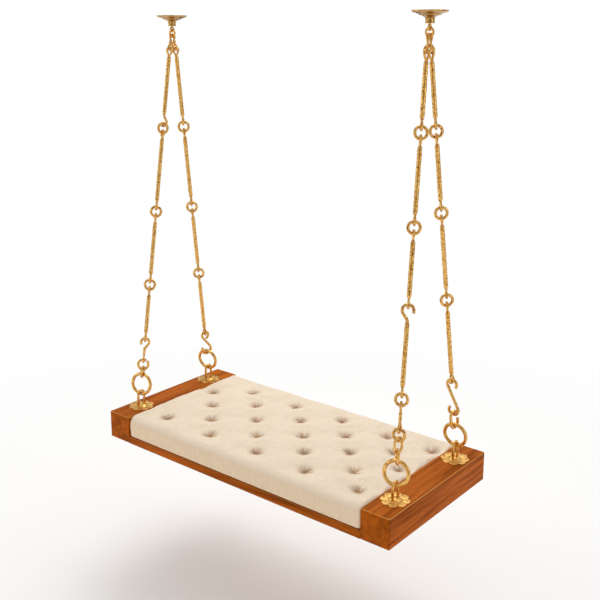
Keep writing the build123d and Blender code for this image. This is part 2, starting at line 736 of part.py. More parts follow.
def big_ring(chain):
    """The big ring on the staple; returns the drop of its top wire."""
    foot_gap = (BIG_RING_WIRE + STAPLE_WIRE) / 2 + TWISTED_PLAY
    centre = chain.length + foot_gap - BIG_RING_RADIUS
    piece = ring(chain.plane(centre, BIG_RING_TURN[chain.name]), BIG_RING_RADIUS, BIG_RING_WIRE)
    save(piece, f"{chain.name}_big_ring")
    return centre - BIG_RING_RADIUS


def rods_to(chain, tops, bottoms, turns, **last):
    """Write the rods of a chain, numbered from the top."""
    for number, (top, bottom, turn) in enumerate(zip(tops, bottoms, turns), start=1):
        extra = last if number == len(tops) else {}
        save(rod(chain, top, bottom, *turn, **extra), f"{chain.name}_rod_{number}")


for side_name in SIDES:
    links = []
    upper_rings = []
    for end_name in ENDS:
        chain = CHAINS[f"{end_name}_{side_name}"]
        link_plane = chain.splayed_plane(LINK_LENGTH / 2, LINK_TURN)
        links.append(oval_link(link_plane, LINK_LENGTH, LINK_WIDTH, LINK_WIRE))
        ring_plane = chain.splayed_plane(UPPER_RING_TOP + UPPER_RING_RADIUS, UPPER_RING_TURN)
        upper_rings.append(ring(ring_plane, UPPER_RING_RADIUS, UPPER_RING_WIRE))
    group(links, f"top_links_{side_name}")
    group(upper_rings, f"upper_rings_{side_name}")

# Front left: open hook on the first rod, then question-mark hook, C-link and small link
chain = CHAINS["front_left"]
drops = chain.ring_drops()
big_top = big_ring(chain)
link_bottom = next_bottom(big_top, BIG_RING_WIRE, SMALL_LINK_WIRE)
link_centre = link_bottom - FRONT_LEFT_LINK_LENGTH / 2
c_bottom = next_bottom(link_bottom - FRONT_LEFT_LINK_LENGTH, SMALL_LINK_WIRE, HOOK_WIRE)
c_top = c_bottom - 2 * C_LINK_RADIUS
hook_bottom = next_bottom(c_top, HOOK_WIRE, ROD_EYE_WIRE)
hook_top = hook_bottom - FRONT_LEFT_HOOK_LENGTH
rod_end = next_bottom(hook_top, HOOK_WIRE, ROD_EYE_WIRE)
small_link_plane = chain.plane(link_centre, SMALL_LINK_TURN)
save(
    oval_link(small_link_plane, FRONT_LEFT_LINK_LENGTH, SMALL_LINK_WIDTH, SMALL_LINK_WIRE),
    "front_left_small_link",
)
with BuildPart() as front_left_c_link:
    with BuildLine(chain.plane(c_top + C_LINK_RADIUS, C_LINK_TURN)) as path:
        high_tip = on_circle((0, 0), C_LINK_RADIUS, C_LINK_MOUTH_TOP)
        low_tip = on_circle((0, 0), C_LINK_RADIUS, C_LINK_MOUTH_BOTTOM)
        bottom_point = on_circle((0, 0), C_LINK_RADIUS, 270)
        upward = on_circle((0, 0), 1, C_LINK_MOUTH_BOTTOM + 90)
        ThreePointArc(high_tip, (-C_LINK_RADIUS, 0), bottom_point)
        ThreePointArc(bottom_point, on_circle((0, 0), C_LINK_RADIUS, 315), low_tip)
        JernArc(low_tip, upward, HOOK_WIRE, -C_LINK_LIP)
    sweep_wire(path, HOOK_WIRE)
save(front_left_c_link, "front_left_c_link")
with BuildPart() as front_left_hook:
    reach = HOOK_REACH * FRONT_LEFT_HOOK_RADIUS
    hook_plane = chain.plane(hook_top, C_LINK_TURN - 180)
    crook(hook_plane, HOOK_WIRE, FRONT_LEFT_HOOK_RADIUS, reach, QUESTION_TIP)
    foot_plane = chain.flipped_plane(hook_bottom, QUESTION_EYE_TURN)
    closed_eye(foot_plane, ROD_EYE_WIRE, ROD_EYE_RADIUS, ROD_EYE_NECK)
    with BuildSketch(Plane(origin=chain.at(hook_top + reach), z_dir=-chain.up)):
        Circle(HOOK_WIRE / 2)
    extrude(amount=hook_bottom - EYE_REACH - hook_top - reach)
save(front_left_hook, "front_left_hook")
twist = TWISTED_PLAY - PLAY
rods_to(
    chain,
    (FIRST_ROD_TOP,),
    (drops[0] - EYE_TO_RING + twist,),
    ((TOP_EYE_TURN, OPEN_HOOK_TURN),),
    foot="hook",
)
save(
    rod(chain, drops[0] + EYE_TO_RING - twist, drops[1] - EYE_TO_RING, HOOKED_EYE_TURN, EDGE_TURN),
    "front_left_rod_2",
)
save(rod(chain, drops[1] + EYE_TO_RING, drops[2] - EYE_TO_RING, EDGE_TURN, EDGE_TURN), "front_left_rod_3")
save(rod(chain, drops[2] + EYE_TO_RING, rod_end, EDGE_TURN, EDGE_TURN), "front_left_rod_4")
left_rings = [
    chain_ring(chain, drops[0], HOOKED_RING_TURN),
    chain_ring(chain, drops[1], FACE_TURN),
    chain_ring(chain, drops[2], FACE_TURN),
]

# Rear left: S-hook with a closed upper loop straight into the big ring
chain = CHAINS["rear_left"]
drops = chain.ring_drops()
big_top = big_ring(chain)
hook_bottom = next_bottom(big_top, BIG_RING_WIRE, HOOK_WIRE)
hook_top = hook_bottom - REAR_LEFT_HOOK_LENGTH
rod_end = next_bottom(hook_top, HOOK_WIRE, ROD_EYE_WIRE)
rear_left_hook = s_hook(
    chain.plane(hook_top, REAR_LEFT_HOOK_TURN),
    REAR_LEFT_HOOK_LENGTH,
    REAR_LEFT_HOOK_LOOP,
    REAR_LEFT_HOOK_RADIUS,
    REAR_LEFT_HOOK_TOP_TIP,
    REAR_LEFT_HOOK_FOOT_TIP,
)
save(rear_left_hook, "rear_left_hook")
rods_to(
    chain,
    (FIRST_ROD_TOP, drops[0] + EYE_TO_RING, drops[1] + EYE_TO_RING, drops[2] + EYE_TO_RING),
    (drops[0] - EYE_TO_RING, drops[1] - EYE_TO_RING, drops[2] - EYE_TO_RING, rod_end),
    ((TOP_EYE_TURN, EDGE_TURN), (EDGE_TURN,) * 2, (EDGE_TURN,) * 2, (EDGE_TURN, REAR_LEFT_FOOT_TURN)),
)
left_rings += [chain_ring(chain, drop, FACE_TURN) for drop in drops]
group(left_rings, "chain_rings_left")

# Front right: crook on the last rod, then ring, connector, ring and two small links
chain = CHAINS["front_right"]
drops = chain.ring_drops()
crook_drop = CROOK_SHARE * chain.length
big_top = big_ring(chain)
low_link_bottom = next_bottom(big_top, BIG_RING_WIRE, SMALL_LINK_WIRE, TWISTED_PLAY)
low_link_top = low_link_bottom - FRONT_RIGHT_LINK_LENGTH
high_link_bottom = next_bottom(low_link_top, SMALL_LINK_WIRE, SMALL_LINK_WIRE)
high_link_top = high_link_bottom - FRONT_RIGHT_LINK_LENGTH
low_ring = next_bottom(high_link_top, SMALL_LINK_WIRE, CHAIN_RING_WIRE, TWISTED_PLAY) - CHAIN_RING_RADIUS
connector_bottom = next_bottom(low_ring - CHAIN_RING_RADIUS, CHAIN_RING_WIRE, ROD_EYE_WIRE)
connector_top = connector_bottom - CONNECTOR_LENGTH
high_ring = next_bottom(connector_top, ROD_EYE_WIRE, CHAIN_RING_WIRE) - CHAIN_RING_RADIUS
rod_end = next_bottom(high_ring - CHAIN_RING_RADIUS, CHAIN_RING_WIRE, ROD_EYE_WIRE)
link_planes = (
    chain.plane(high_link_top + FRONT_RIGHT_LINK_LENGTH / 2, HIGH_LINK_TURN),
    chain.plane(low_link_top + FRONT_RIGHT_LINK_LENGTH / 2, LOW_LINK_TURN),
)
group(
    [oval_link(plane, FRONT_RIGHT_LINK_LENGTH, SMALL_LINK_WIDTH, SMALL_LINK_WIRE) for plane in link_planes],
    "front_right_small_links",
)
save(
    rod(chain, connector_top, connector_bottom, CONNECTOR_TURN, CONNECTOR_FOOT_TURN, CONNECTOR_STEM),
    "front_right_connector",
)
crook_eye = next_bottom(crook_drop, CROOK_WIRE, ROD_EYE_WIRE)
rods_to(
    chain,
    (FIRST_ROD_TOP, drops[0] + EYE_TO_RING, drops[1] + EYE_TO_RING, crook_drop),
    (drops[0] - EYE_TO_RING, drops[1] - EYE_TO_RING, crook_eye, rod_end),
    ((TOP_EYE_TURN, EDGE_TURN), (EDGE_TURN,) * 2, (EDGE_TURN, CROOK_EYE_TURN), (CROOK_TURN, CONNECTOR_TURN)),
    head="crook",
)
right_rings = [chain_ring(chain, drop, FACE_TURN) for drop in drops]
right_rings += [chain_ring(chain, high_ring, HIGH_RING_TURN), chain_ring(chain, low_ring, LOW_RING_TURN)]

# Rear right: S-hook and tall C-link
chain = CHAINS["rear_right"]
drops = chain.ring_drops()
big_top = big_ring(chain)
c_bottom = next_bottom(big_top, BIG_RING_WIRE, HOOK_WIRE)
c_top = c_bottom - TALL_C_LINK_LENGTH
hook_bottom = next_bottom(c_top, HOOK_WIRE, HOOK_WIRE)
hook_top = hook_bottom - REAR_RIGHT_HOOK_LENGTH
rod_end = next_bottom(hook_top, HOOK_WIRE, ROD_EYE_WIRE)
with BuildPart() as rear_right_c_link:
    radius = TALL_C_LINK_RADIUS
    straight = TALL_C_LINK_LENGTH / 2 - radius
    with BuildLine(chain.plane(c_top + TALL_C_LINK_LENGTH / 2, TALL_LINK_TURN)) as path:
        Line((radius, 0), (radius, -straight))
        ThreePointArc((radius, -straight), (0, -straight - radius), (-radius, -straight))
        Line((-radius, -straight), (-radius, straight))
        link_tip = on_circle((0, straight), radius, TALL_LINK_TIP)
        ThreePointArc((-radius, straight), (0, straight + radius), link_tip)
    sweep_wire(path, HOOK_WIRE)
save(rear_right_c_link, "rear_right_c_link")
rear_right_hook = s_hook(
    chain.plane(hook_top, REAR_RIGHT_HOOK_TURN),
    REAR_RIGHT_HOOK_LENGTH,
    REAR_RIGHT_HOOK_RADIUS,
    REAR_RIGHT_HOOK_RADIUS,
    REAR_RIGHT_HOOK_TOP_TIP,
    REAR_RIGHT_HOOK_FOOT_TIP,
)
save(rear_right_hook, "rear_right_hook")
rods_to(
    chain,
    (FIRST_ROD_TOP, drops[0] + EYE_TO_RING, drops[1] + EYE_TO_RING, drops[2] + EYE_TO_RING),
    (drops[0] - EYE_TO_RING, drops[1] - EYE_TO_RING, drops[2] - EYE_TO_RING, rod_end),
    ((TOP_EYE_TURN, EDGE_TURN), (EDGE_TURN,) * 2, (EDGE_TURN,) * 2, (EDGE_TURN, REAR_RIGHT_FOOT_TURN)),
)
right_rings += [chain_ring(chain, drop, FACE_TURN) for drop in drops]
group(right_rings, "chain_rings_right")
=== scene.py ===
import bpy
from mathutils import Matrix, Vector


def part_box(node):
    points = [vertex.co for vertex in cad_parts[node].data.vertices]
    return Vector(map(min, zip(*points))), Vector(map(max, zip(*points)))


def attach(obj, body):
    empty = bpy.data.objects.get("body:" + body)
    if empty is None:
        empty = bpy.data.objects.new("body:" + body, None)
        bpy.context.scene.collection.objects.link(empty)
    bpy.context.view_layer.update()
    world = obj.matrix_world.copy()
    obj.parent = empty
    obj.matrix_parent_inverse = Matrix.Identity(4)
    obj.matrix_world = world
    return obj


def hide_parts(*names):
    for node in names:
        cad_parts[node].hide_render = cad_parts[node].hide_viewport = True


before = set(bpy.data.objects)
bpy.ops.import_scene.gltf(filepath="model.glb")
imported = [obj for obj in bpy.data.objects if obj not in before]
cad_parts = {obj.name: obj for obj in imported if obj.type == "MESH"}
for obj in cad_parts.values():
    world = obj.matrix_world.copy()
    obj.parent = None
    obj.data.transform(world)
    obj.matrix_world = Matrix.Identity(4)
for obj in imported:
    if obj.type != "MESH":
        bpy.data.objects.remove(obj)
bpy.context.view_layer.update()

from math import asin, atan2, cos, degrees, exp, hypot, pi, radians, sin, sqrt

import bmesh
import bpy
from mathutils import Vector, kdtree, noise

scene = bpy.context.scene


# ---------------------------------------------------------------- room
# A pale plain floor under the hanging seat, a soft overhead light and two side lights. Dark cards that only
# polished metal sees stand around it, as in any metalware studio.
FLOOR_DROP = 0.56
FLOOR_SIZE = 40.0
FLOOR_CLEAR = (0.9, 3.4)
SKY_STRENGTH = 0.68


def plug(owner, made, **inputs):
    """Give a shader node its inputs by name or _number: values, or the outputs of other nodes."""
    for name, value in inputs.items():
        entry = made.inputs[int(name[1:]) if name[0] == "_" else name.replace("_", " ")]
        if isinstance(value, bpy.types.NodeSocket):
            owner.node_tree.links.new(value, entry)
        else:
            entry.default_value = (*value, 1.0) if entry.type == "RGBA" else value
    return made


def node(owner, kind, **inputs):
    """A new shader node of a material or world."""
    return plug(owner, owner.node_tree.nodes.new("ShaderNode" + kind), **inputs)


def maths(owner, operation, *values):
    """One step of arithmetic on outputs or numbers."""
    step = node(owner, "Math")
    step.operation = operation
    return plug(owner, step, **{f"_{i}": value for i, value in enumerate(values)}).outputs[0]


def length_of(owner, vector):
    """How long a vector output is."""
    measure = node(owner, "VectorMath", _0=vector)
    measure.operation = "LENGTH"
    return measure.outputs["Value"]


def remapped(owner, value, start, end, low=0.0, high=1.0, curve="LINEAR"):
    """A value moved from one range to another, and held inside it."""
    move = node(owner, "MapRange", Value=value, From_Min=start, From_Max=end, To_Min=low, To_Max=high)
    move.interpolation_type = curve
    return move.outputs["Result"]


def own_point(material):
    """The surface point in the piece's own coordinates."""
    return node(material, "TexCoord").outputs["Object"]


def coat(material, **inputs):
    """Set or connect inputs of a material's main shader."""
    return plug(material, material.node_tree.nodes["Principled BSDF"], **inputs)


def new_material(name, **inputs):
    """A new material with inputs of its main shader set."""
    made = bpy.data.materials.new(name)
    made.use_nodes = True
    coat(made, **inputs)
    return made


def flat_sheet(name, corners):
    """A four-cornered sheet for the floor or a card."""
    mesh = bpy.data.meshes.new(name)
    mesh.from_pydata([tuple(c) for c in corners], [], [(0, 1, 2, 3)])
    sheet = bpy.data.objects.new(name, mesh)
    scene.collection.objects.link(sheet)
    return sheet


scene.view_settings.view_transform = "Standard"
studio = bpy.data.worlds.new("studio")
scene.world = studio
studio.use_nodes = True
studio.node_tree.nodes.clear()
rays = node(studio, "LightPath").outputs
plain_rays = maths(studio, "MAXIMUM", rays["Is Camera Ray"], rays["Is Transmission Ray"])
soft_sky = node(studio, "Background", Color=(1.0, 0.99, 0.97), Strength=SKY_STRENGTH)
backdrop = node(studio, "Background", Color=(1.0, 1.0, 1.0), Strength=1.0)
sky_choice = node(studio, "MixShader", Fac=plain_rays, _1=soft_sky.outputs[0], _2=backdrop.outputs[0])
node(studio, "OutputWorld", Surface=sky_choice.outputs[0])

half = FLOOR_SIZE / 2
corners = ((-1, -1), (1, -1), (1, 1), (-1, 1))
floor = flat_sheet("floor", [(x * half, y * half, -FLOOR_DROP) for x, y in corners])
pale = new_material("pale floor", Base_Color=(0.97, 0.97, 0.97), Roughness=0.9, Specular_IOR_Level=0.1)
far_away = remapped(pale, length_of(pale, own_point(pale)), *FLOOR_CLEAR, curve="SMOOTHSTEP")
lit, haze = coat(pale).outputs[0], node(pale, "Emission").outputs[0]
fading = node(pale, "MixShader", Fac=far_away, _1=lit, _2=haze)
plug(pale, pale.node_tree.nodes["Material Output"], Surface=fading.outputs[0])
floor.data.materials.append(pale)

CAMERA_PLACE = (2.0802, -2.4763, 1.5679)
CAMERA_TURN = 39.204
CAMERA_TILT = -12.526
camera_data = bpy.data.cameras.new("camera")
camera_data.sensor_width = 36.0
camera_data.lens = 54.72
camera_data.shift_y = -0.10
camera = bpy.data.objects.new("camera", camera_data)
camera.location = CAMERA_PLACE
camera.rotation_euler = (radians(90 + CAMERA_TILT), 0, radians(CAMERA_TURN))
scene.collection.objects.link(camera)
scene.camera = camera


def soft_light(name, place, aim, size, power):
    """A square soft box at a place, aimed at a point."""
    lamp = bpy.data.lights.new(name, "AREA")
    lamp.size = size
    lamp.energy = power
    box = bpy.data.objects.new(name, lamp)
    box.location = place
    box.rotation_euler = (Vector(aim) - Vector(place)).to_track_quat("-Z", "Y").to_euler()
    scene.collection.objects.link(box)


soft_light("overhead_light", (-0.7, 1.3, 3.4), (0, 0, 0.1), 2.5, 62.0)
soft_light("left_light", (-3.4, -2.2, 1.9), (-0.2, 0, 0.5), 1.6, 16.0)
soft_light("right_light", (3.8, 0.6, 1.7), (0.2, 0, 0.5), 1.2, 9.0)

CARD_FOOT = -1.5
CARD_HEAD = 5.0


def dark_card(name, angle, distance, width, tone):
    """An upright card seen only in polished metal; its angle is from the front, towards the right."""
    middle = Vector((sin(radians(angle)), -cos(radians(angle)), 0)) * distance
    along = Vector((cos(radians(angle)), sin(radians(angle)), 0)) * (width / 2)
    corners = ((-1, CARD_FOOT), (1, CARD_FOOT), (1, CARD_HEAD), (-1, CARD_HEAD))
    card = flat_sheet(name, [middle + along * side + Vector((0, 0, height)) for side, height in corners])
    shade = new_material(name)
    shade.node_tree.nodes.clear()
    node(shade, "OutputMaterial", Surface=node(shade, "Emission", Color=tone).outputs[0])
    card.data.materials.append(shade)
    card.visible_camera = False
    card.visible_diffuse = False
    card.visible_shadow = False
    card.visible_transmission = False


dark_card("viewer_card", 40, 4.6, 2.0, (0.10, 0.09, 0.08))
dark_card("right_card", 118, 4.4, 1.6, (0.16, 0.15, 0.14))
dark_card("left_card", -62, 4.4, 1.1, (0.22, 0.21, 0.20))
dark_card("rear_card", 220, 4.6, 1.6, (0.14, 0.13, 0.12))


# ---------------------------------------------------------------- brass
# All metal that shows is cast and drawn brass, polished once and since gone warm: brighter where hands rub
# it, brown in the hollows, with a fine hammered skin on the chain rods. The brown rings on the canopy dishes
# are painted shade.
BRASS_LIGHT = (0.90, 0.56, 0.175)
BRASS_MID = (0.76, 0.40, 0.090)
BRASS_BROWN = (0.25, 0.080, 0.013)
HAMMER_GRAIN = 230
CAP_RINGS = 5


def object_place(material, stretch=(1.0, 1.0, 1.0)):
    """The piece's own coordinates, stretched for a pattern."""
    return node(material, "Mapping", Vector=own_point(material), Scale=stretch).outputs["Vector"]


def mottled(material, place, scale=1.0, **settings):
    """Soft noise over a place."""
    return node(material, "TexNoise", Vector=place, Scale=scale, **settings).outputs["Fac"]


def shades(material, value, *stops):
    """A colour ramp over a value; each stop is a position and a colour or a grey."""
    ramp = node(material, "ValToRGB", Fac=value)
    band = ramp.color_ramp.elements
    while len(band) < len(stops):
        band.new(0.5)
    for element, (position, tone) in zip(band, stops):
        element.position = position
        element.color = (tone, tone, tone, 1.0) if isinstance(tone, float) else (*tone, 1.0)
    return ramp.outputs["Color"]


def mixed(material, factor, first, second, blend="MIX"):
    """Two colours blended."""
    blender = node(material, "Mix")
    blender.data_type = "RGBA"
    blender.blend_type = blend
    return plug(material, blender, _0=factor, _6=first, _7=second).outputs[2]


def bumped(material, height, strength, distance, **under):
    """The surface normal bent by a height, over the normal under it."""
    relief = node(material, "Bump", Height=height, Strength=strength, Distance=distance, **under)
    return relief.outputs["Normal"]


def brass(name, roughness=0.24, grain=900.0, grain_depth=0.00012, patina=0.45, patina_size=60.0, tone=1.0):
    """Warm polished brass with brown patches and a fine skin; tone darkens it as a whole."""
    metal = new_material(name, Metallic=1.0)
    place = object_place(metal)
    cloud = mottled(metal, place, patina_size, Detail=4.0, Roughness=0.6)
    skin = node(metal, "TexVoronoi", Vector=place, Scale=grain).outputs["Distance"]
    speckle = mottled(metal, place, grain * 0.45, Detail=2.0)
    mid, light = ([c * tone for c in colour] for colour in (BRASS_MID, BRASS_LIGHT))
    warm = shades(metal, cloud, (0.34, mid), (0.62, light))
    dark_spots = shades(metal, speckle, (0.34, patina), (0.50, 0.0))
    coat(
        metal,
        Base_Color=mixed(metal, dark_spots, warm, BRASS_BROWN),
        Roughness=remapped(metal, cloud, 0.3, 0.7, roughness * 0.75, roughness * 1.45),
        Normal=bumped(metal, cloud, 0.25, 0.0006, Normal=bumped(metal, skin, 0.35, grain_depth)),
    )
    return metal


wire_brass = brass("drawn brass", roughness=0.20, grain=520.0, patina=0.55)
rod_brass = brass("hammered rod brass", roughness=0.27, grain=430.0, grain_depth=0.0006, patina=0.95)


def finished(name, mesh, material, body, node_name):
    """Put a mesh in the scene as a finished piece that rides on a body and stands for a CAD node."""
    mesh.materials.clear()
    mesh.materials.append(material)
    piece = bpy.data.objects.new(name, mesh)
    scene.collection.objects.link(piece)
    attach(piece, body)
    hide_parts(node_name)
    return piece


class Wirework:
    """Collects round wires of any path and thickness into one mesh."""

    def __init__(self):
        self.points = []
        self.faces = []

    def wire(self, path, radii, closed=False, sides=20, dents=0.0):
        """Sweep a circle along a path of points, with one radius or one for each point, less its dents."""
        path = [Vector(p) for p in path]
        if isinstance(radii, float):
            radii = [radii] * len(path)
        if not closed:
            path, radii = self.domed(path, radii)
        count = len(path)
        before = [path[i - 1] if closed or i else path[0] for i in range(count)]
        after = [path[(i + 1) % count] if closed or i < count - 1 else path[-1] for i in range(count)]
        ahead = [(end - start).normalized() for start, end in zip(before, after)]
        side = ahead[0].orthogonal().normalized()
        frames = []
        for way in ahead:
            side = (side - way * side.dot(way)).normalized()
            frames.append((side.copy(), way.cross(side)))
        twist = 0.0
        if closed:
            last = (frames[-1][0] - ahead[0] * frames[-1][0].dot(ahead[0])).normalized()
            twist = atan2(last.dot(frames[0][1]), last.dot(frames[0][0]))
        start = len(self.points)
        for i, (across, over) in enumerate(frames):
            for k in range(sides):
                angle = 2 * pi * k / sides - twist * i / count
                offset = across * cos(angle) + over * sin(angle)
                spot = path[i] + offset * radii[i]
                dent = dents * (0.5 + noise.noise(spot * HAMMER_GRAIN)) if dents else 0.0
                self.points.append(spot - offset * max(dent, 0.0))
        for i in range(count if closed else count - 1):
            near, far = start + i * sides, start + (i + 1) % count * sides
            for k in range(sides):
                m = (k + 1) % sides
                self.faces.append((near + k, near + m, far + m, far + k))
        if not closed:
            end = start + count * sides
            self.faces += [tuple(range(start + sides - 1, start - 1, -1)), tuple(range(end - sides, end))]

    @staticmethod
    def domed(path, radii):
        """Round off both ends of an open wire inside its own length."""
        caps = []
        for tip, inner, radius in ((path[0], path[1], radii[0]), (path[-1], path[-2], radii[-1])):
            inwards = (inner - tip).normalized()
            gaps = [1 - sin(pi / 2 * (i + 0.35) / CAP_RINGS) for i in range(CAP_RINGS)]
            caps.append([(tip + inwards * radius * 0.55 * gap, radius * sqrt(1 - gap**2)) for gap in gaps])
        clear = [
            (p, r)
            for p, r in zip(path, radii)
            if (p - path[0]).length > radii[0] * 0.6 and (p - path[-1]).length > radii[-1] * 0.6
        ]
        return zip(*caps[0], *clear, *caps[1][::-1])

    def ring(self, plane, radius, thickness, sections=72, dents=0.0):
        """A round ring about the origin of a plane."""
        turns = [2 * pi * i / sections for i in range(sections)]
        path = [plane(radius * cos(a), radius * sin(a)) for a in turns]
        self.wire(path, thickness / 2, closed=True, dents=dents)

    def mesh(self):
        """All the wires so far as one mesh."""
        made = bpy.data.meshes.new("wirework")
        made.from_pydata(self.points, [], self.faces)
        made.polygons.foreach_set("use_smooth", [True] * len(made.polygons))
        made.update()
        return made


def facing(point, up, turn):
    """Maps flat coordinates to the plane through a point whose Y runs along up, turned about it."""
    across = up.cross(Vector((sin(radians(turn)), cos(radians(turn)), 0))).normalized()
    return lambda x, y: point + across * x + up * y


def arc(centre, radius, start, end, steps=24):
    """Flat points on an arc, by its angles in degrees."""
    turns = [radians(start + (end - start) * i / steps) for i in range(steps + 1)]
    return [(centre[0] + radius * cos(a), centre[1] + radius * sin(a)) for a in turns]


def smooth_mesh(shell):
    """A worked shell as a mesh, shaded smooth."""
    for face in shell.faces:
        face.smooth = True
    made = bpy.data.meshes.new("piece")
    shell.to_mesh(made)
    shell.free()
    return made


# ---------------------------------------------------------------- ceiling hangers
# A spun dish with a bright rolled rim, a raised ring and a short turned collar hides the ceiling plate. The
# eye bolt comes down through it and carries a free ring.
SIDES = {"left": -1, "right": 1}
ENDS = {"front": -1, "rear": 1}
HANGER_X = 0.574
CEILING = 1.650
EYE_HEIGHT = 1.5975
EYE_RADIUS = 0.00825
EYE_WIRE = 0.0065
SHANK_HEIGHTS = (1.6040, 1.6065, 1.6090, 1.620, 1.633, 1.645)
SHANK_RADII = (0.0030, 0.0036, 0.0040, 0.0040, 0.0040, 0.0040)
TOP_RING_RADIUS = 0.0135
TOP_RING_WIRE = 0.0075
TOP_RING_HEIGHT = 1.58325
DISH_REACH = 0.06
# Painted shade on each dish's underside: a distance from the axis, and how far the brass is browned there.
DISH_SHADE = (
    (0.0, 0.0),
    (0.02046, 0.0),
    (0.0231, 0.65),
    (0.03234, 0.75),
    (0.03399, 0.05),
    (0.0363, 0.05),
    (0.03828, 0.9),
    (0.05016, 0.85),
    (0.05301, 0.0),
)
# Both profiles in millimetres, as radius and drop below the ceiling.
CANOPY_OUTSIDE = (
    *((56.6, 0.0), (57.0, 0.8), (57.0, 3.0), (55.8, 5.0), (54.0, 6.6), (52.0, 7.2), (46.0, 8.8)),
    *((40.0, 10.6), (35.8, 11.8), (35.2, 12.8), (33.8, 15.2), (31.6, 15.6), (26.0, 16.8), (20.5, 19.0)),
    *((17.2, 21.6), (9.0, 22.0), (4.2, 22.0)),
)
CANOPY_INSIDE = (
    *((4.2, 20.4), (16.6, 20.4), (20.0, 17.2), (31.0, 13.8), (34.0, 10.8), (45.0, 7.2), (52.0, 5.5)),
    *((54.0, 3.0), (55.0, 0.0)),
)
COLLAR = (
    *((4.2, 22.0), (15.4, 22.0), (15.7, 23.2), (15.0, 25.5), (14.4, 29.0), (14.3, 32.5), (14.7, 35.5)),
    *((15.0, 37.8), (14.9, 39.0), (14.0, 40.0), (4.2, 40.0)),
)

canopy_brass = brass(
    "spun canopy brass",
    roughness=0.17,
    grain=300.0,
    grain_depth=0.00005,
    patina=0.12,
    patina_size=22.0,
    tone=0.62,
)
# Painted shade: brown rings across each dish's underside by distance from its axis, leaving the step ring and
# the rim bright.
spot = node(canopy_brass, "SeparateXYZ", Vector=own_point(canopy_brass)).outputs
outwards = maths(canopy_brass, "SUBTRACT", maths(canopy_brass, "ABSOLUTE", spot["X"]), HANGER_X)
from_axis = length_of(canopy_brass, node(canopy_brass, "CombineXYZ", X=outwards, Y=spot["Y"]).outputs[0])
reach_share = maths(canopy_brass, "MULTIPLY", from_axis, 1 / DISH_REACH)
painted_dish_shade = shades(canopy_brass, reach_share, *((radius / DISH_REACH, dark) for radius, dark in DISH_SHADE))
unshaded_brass = coat(canopy_brass).inputs["Base Color"].links[0].from_socket
coat(canopy_brass, Base_Color=mixed(canopy_brass, painted_dish_shade, unshaded_brass, BRASS_BROWN))


def turned_brass(profile, centre, sections=96):
    """Turn a closed profile about an upright axis, with its corners cut once."""
    points = [(radius / 1000, CEILING - drop / 1000) for radius, drop in profile]
    cut = [
        [a + (b - a) * share for a, b in zip(here, ahead)]
        for here, ahead in zip(points, points[1:] + points[:1])
        for share in (0.25, 0.75)
    ]
    shell = bmesh.new()
    turns = [2 * pi * k / sections for k in range(sections)]
    rings = [
        [shell.verts.new((centre[0] + r * cos(a), centre[1] + r * sin(a), z)) for a in turns] for r, z in cut
    ]
    for ring, following in zip(rings, rings[1:] + rings[:1]):
        for k in range(sections):
            m = (k + 1) % sections
            shell.faces.new((ring[k], ring[m], following[m], following[k]))
    bmesh.ops.recalc_face_normals(shell, faces=shell.faces)
    return smooth_mesh(shell)


UPRIGHT = Vector((0, 0, 1))
for side, sign in SIDES.items():
    middle = (sign * HANGER_X, 0.0)
    dish, collar = turned_brass(CANOPY_OUTSIDE + CANOPY_INSIDE, middle), turned_brass(COLLAR, middle)
    finished(f"spun_canopy_{side}", dish, canopy_brass, "ceiling", f"canopy_{side}")
    finished(f"turned_collar_{side}", collar, canopy_brass, "ceiling", f"canopy_collar_{side}")
    eye = Wirework()
    eye.ring(facing(Vector((*middle, EYE_HEIGHT)), UPRIGHT, 90), EYE_RADIUS, EYE_WIRE, sections=40)
    eye.wire([(*middle, z) for z in SHANK_HEIGHTS], SHANK_RADII)
    finished(f"forged_eye_{side}", eye.mesh(), wire_brass, "ceiling", f"eye_bolt_{side}")
    top_ring = Wirework()
    ring_plane = facing(Vector((*middle, TOP_RING_HEIGHT)), UPRIGHT, 180)
    top_ring.ring(ring_plane, TOP_RING_RADIUS, TOP_RING_WIRE, dents=0.0003)
    finished(f"free_ring_{side}", top_ring.mesh(), wire_brass, f"{side}_ring", f"top_ring_{side}")


# ---------------------------------------------------------------- chains
# Long hammered rods with drawn eyes, joined by round rings, then each chain's own hooks and links down to
# the big ring. Every wire hangs in the loop above it with a little play.
PLAY = 0.0005
TWISTED_PLAY = 0.0010
SLANTED_PLAY = 0.0015
LINK_SPREAD = 0.0042
LINK_SPLAY = 22
LINK_WIRE = 0.007
LINK_LENGTH = 0.044
LINK_WIDTH = 0.018
LINK_TURN = 88
UPPER_RING_WIRE = 0.0075
UPPER_RING_RADIUS = 0.0135
UPPER_RING_TURN = 188
TOP_EYE_TURN = 98
ROD_RADIUS = 0.008
ROD_EYE_WIRE = 0.0095
ROD_EYE_RADIUS = 0.01125
ROD_EYE_NECK = 0.023
CHAIN_RING_WIRE = 0.0105
CHAIN_RING_RADIUS = 0.0195
BIG_RING_WIRE = 0.013
BIG_RING_RADIUS = 0.041
BIG_RING_TURN = {"front_left": 164, "rear_left": 169, "front_right": 165, "rear_right": 178}
HOOK_WIRE = 0.011
SMALL_LINK_WIRE = 0.009
SMALL_LINK_WIDTH = 0.030
STAPLE_X = 0.614
STAPLE_Y = 0.192
PIVOT_HEIGHT = 0.172
STAPLE_WIRE = 0.010
FACE_TURN = 138
EDGE_TURN = 52
NECK_RADIUS = 0.00475
NECK_TAPER = 0.009
NECK_LAP = 0.003
HOOK_REACH = 2.7
OPEN_HOOK_RADIUS = 0.0145
OPEN_HOOK_WIRE = 0.010
CROOK_RADIUS = 0.0185
CROOK_WIRE = 0.011
HAMMER = 0.0007
HOOK_DENTS = HAMMER * 0.7
EYE_DENTS = HAMMER * 0.5
RING_DENTS = 0.0003
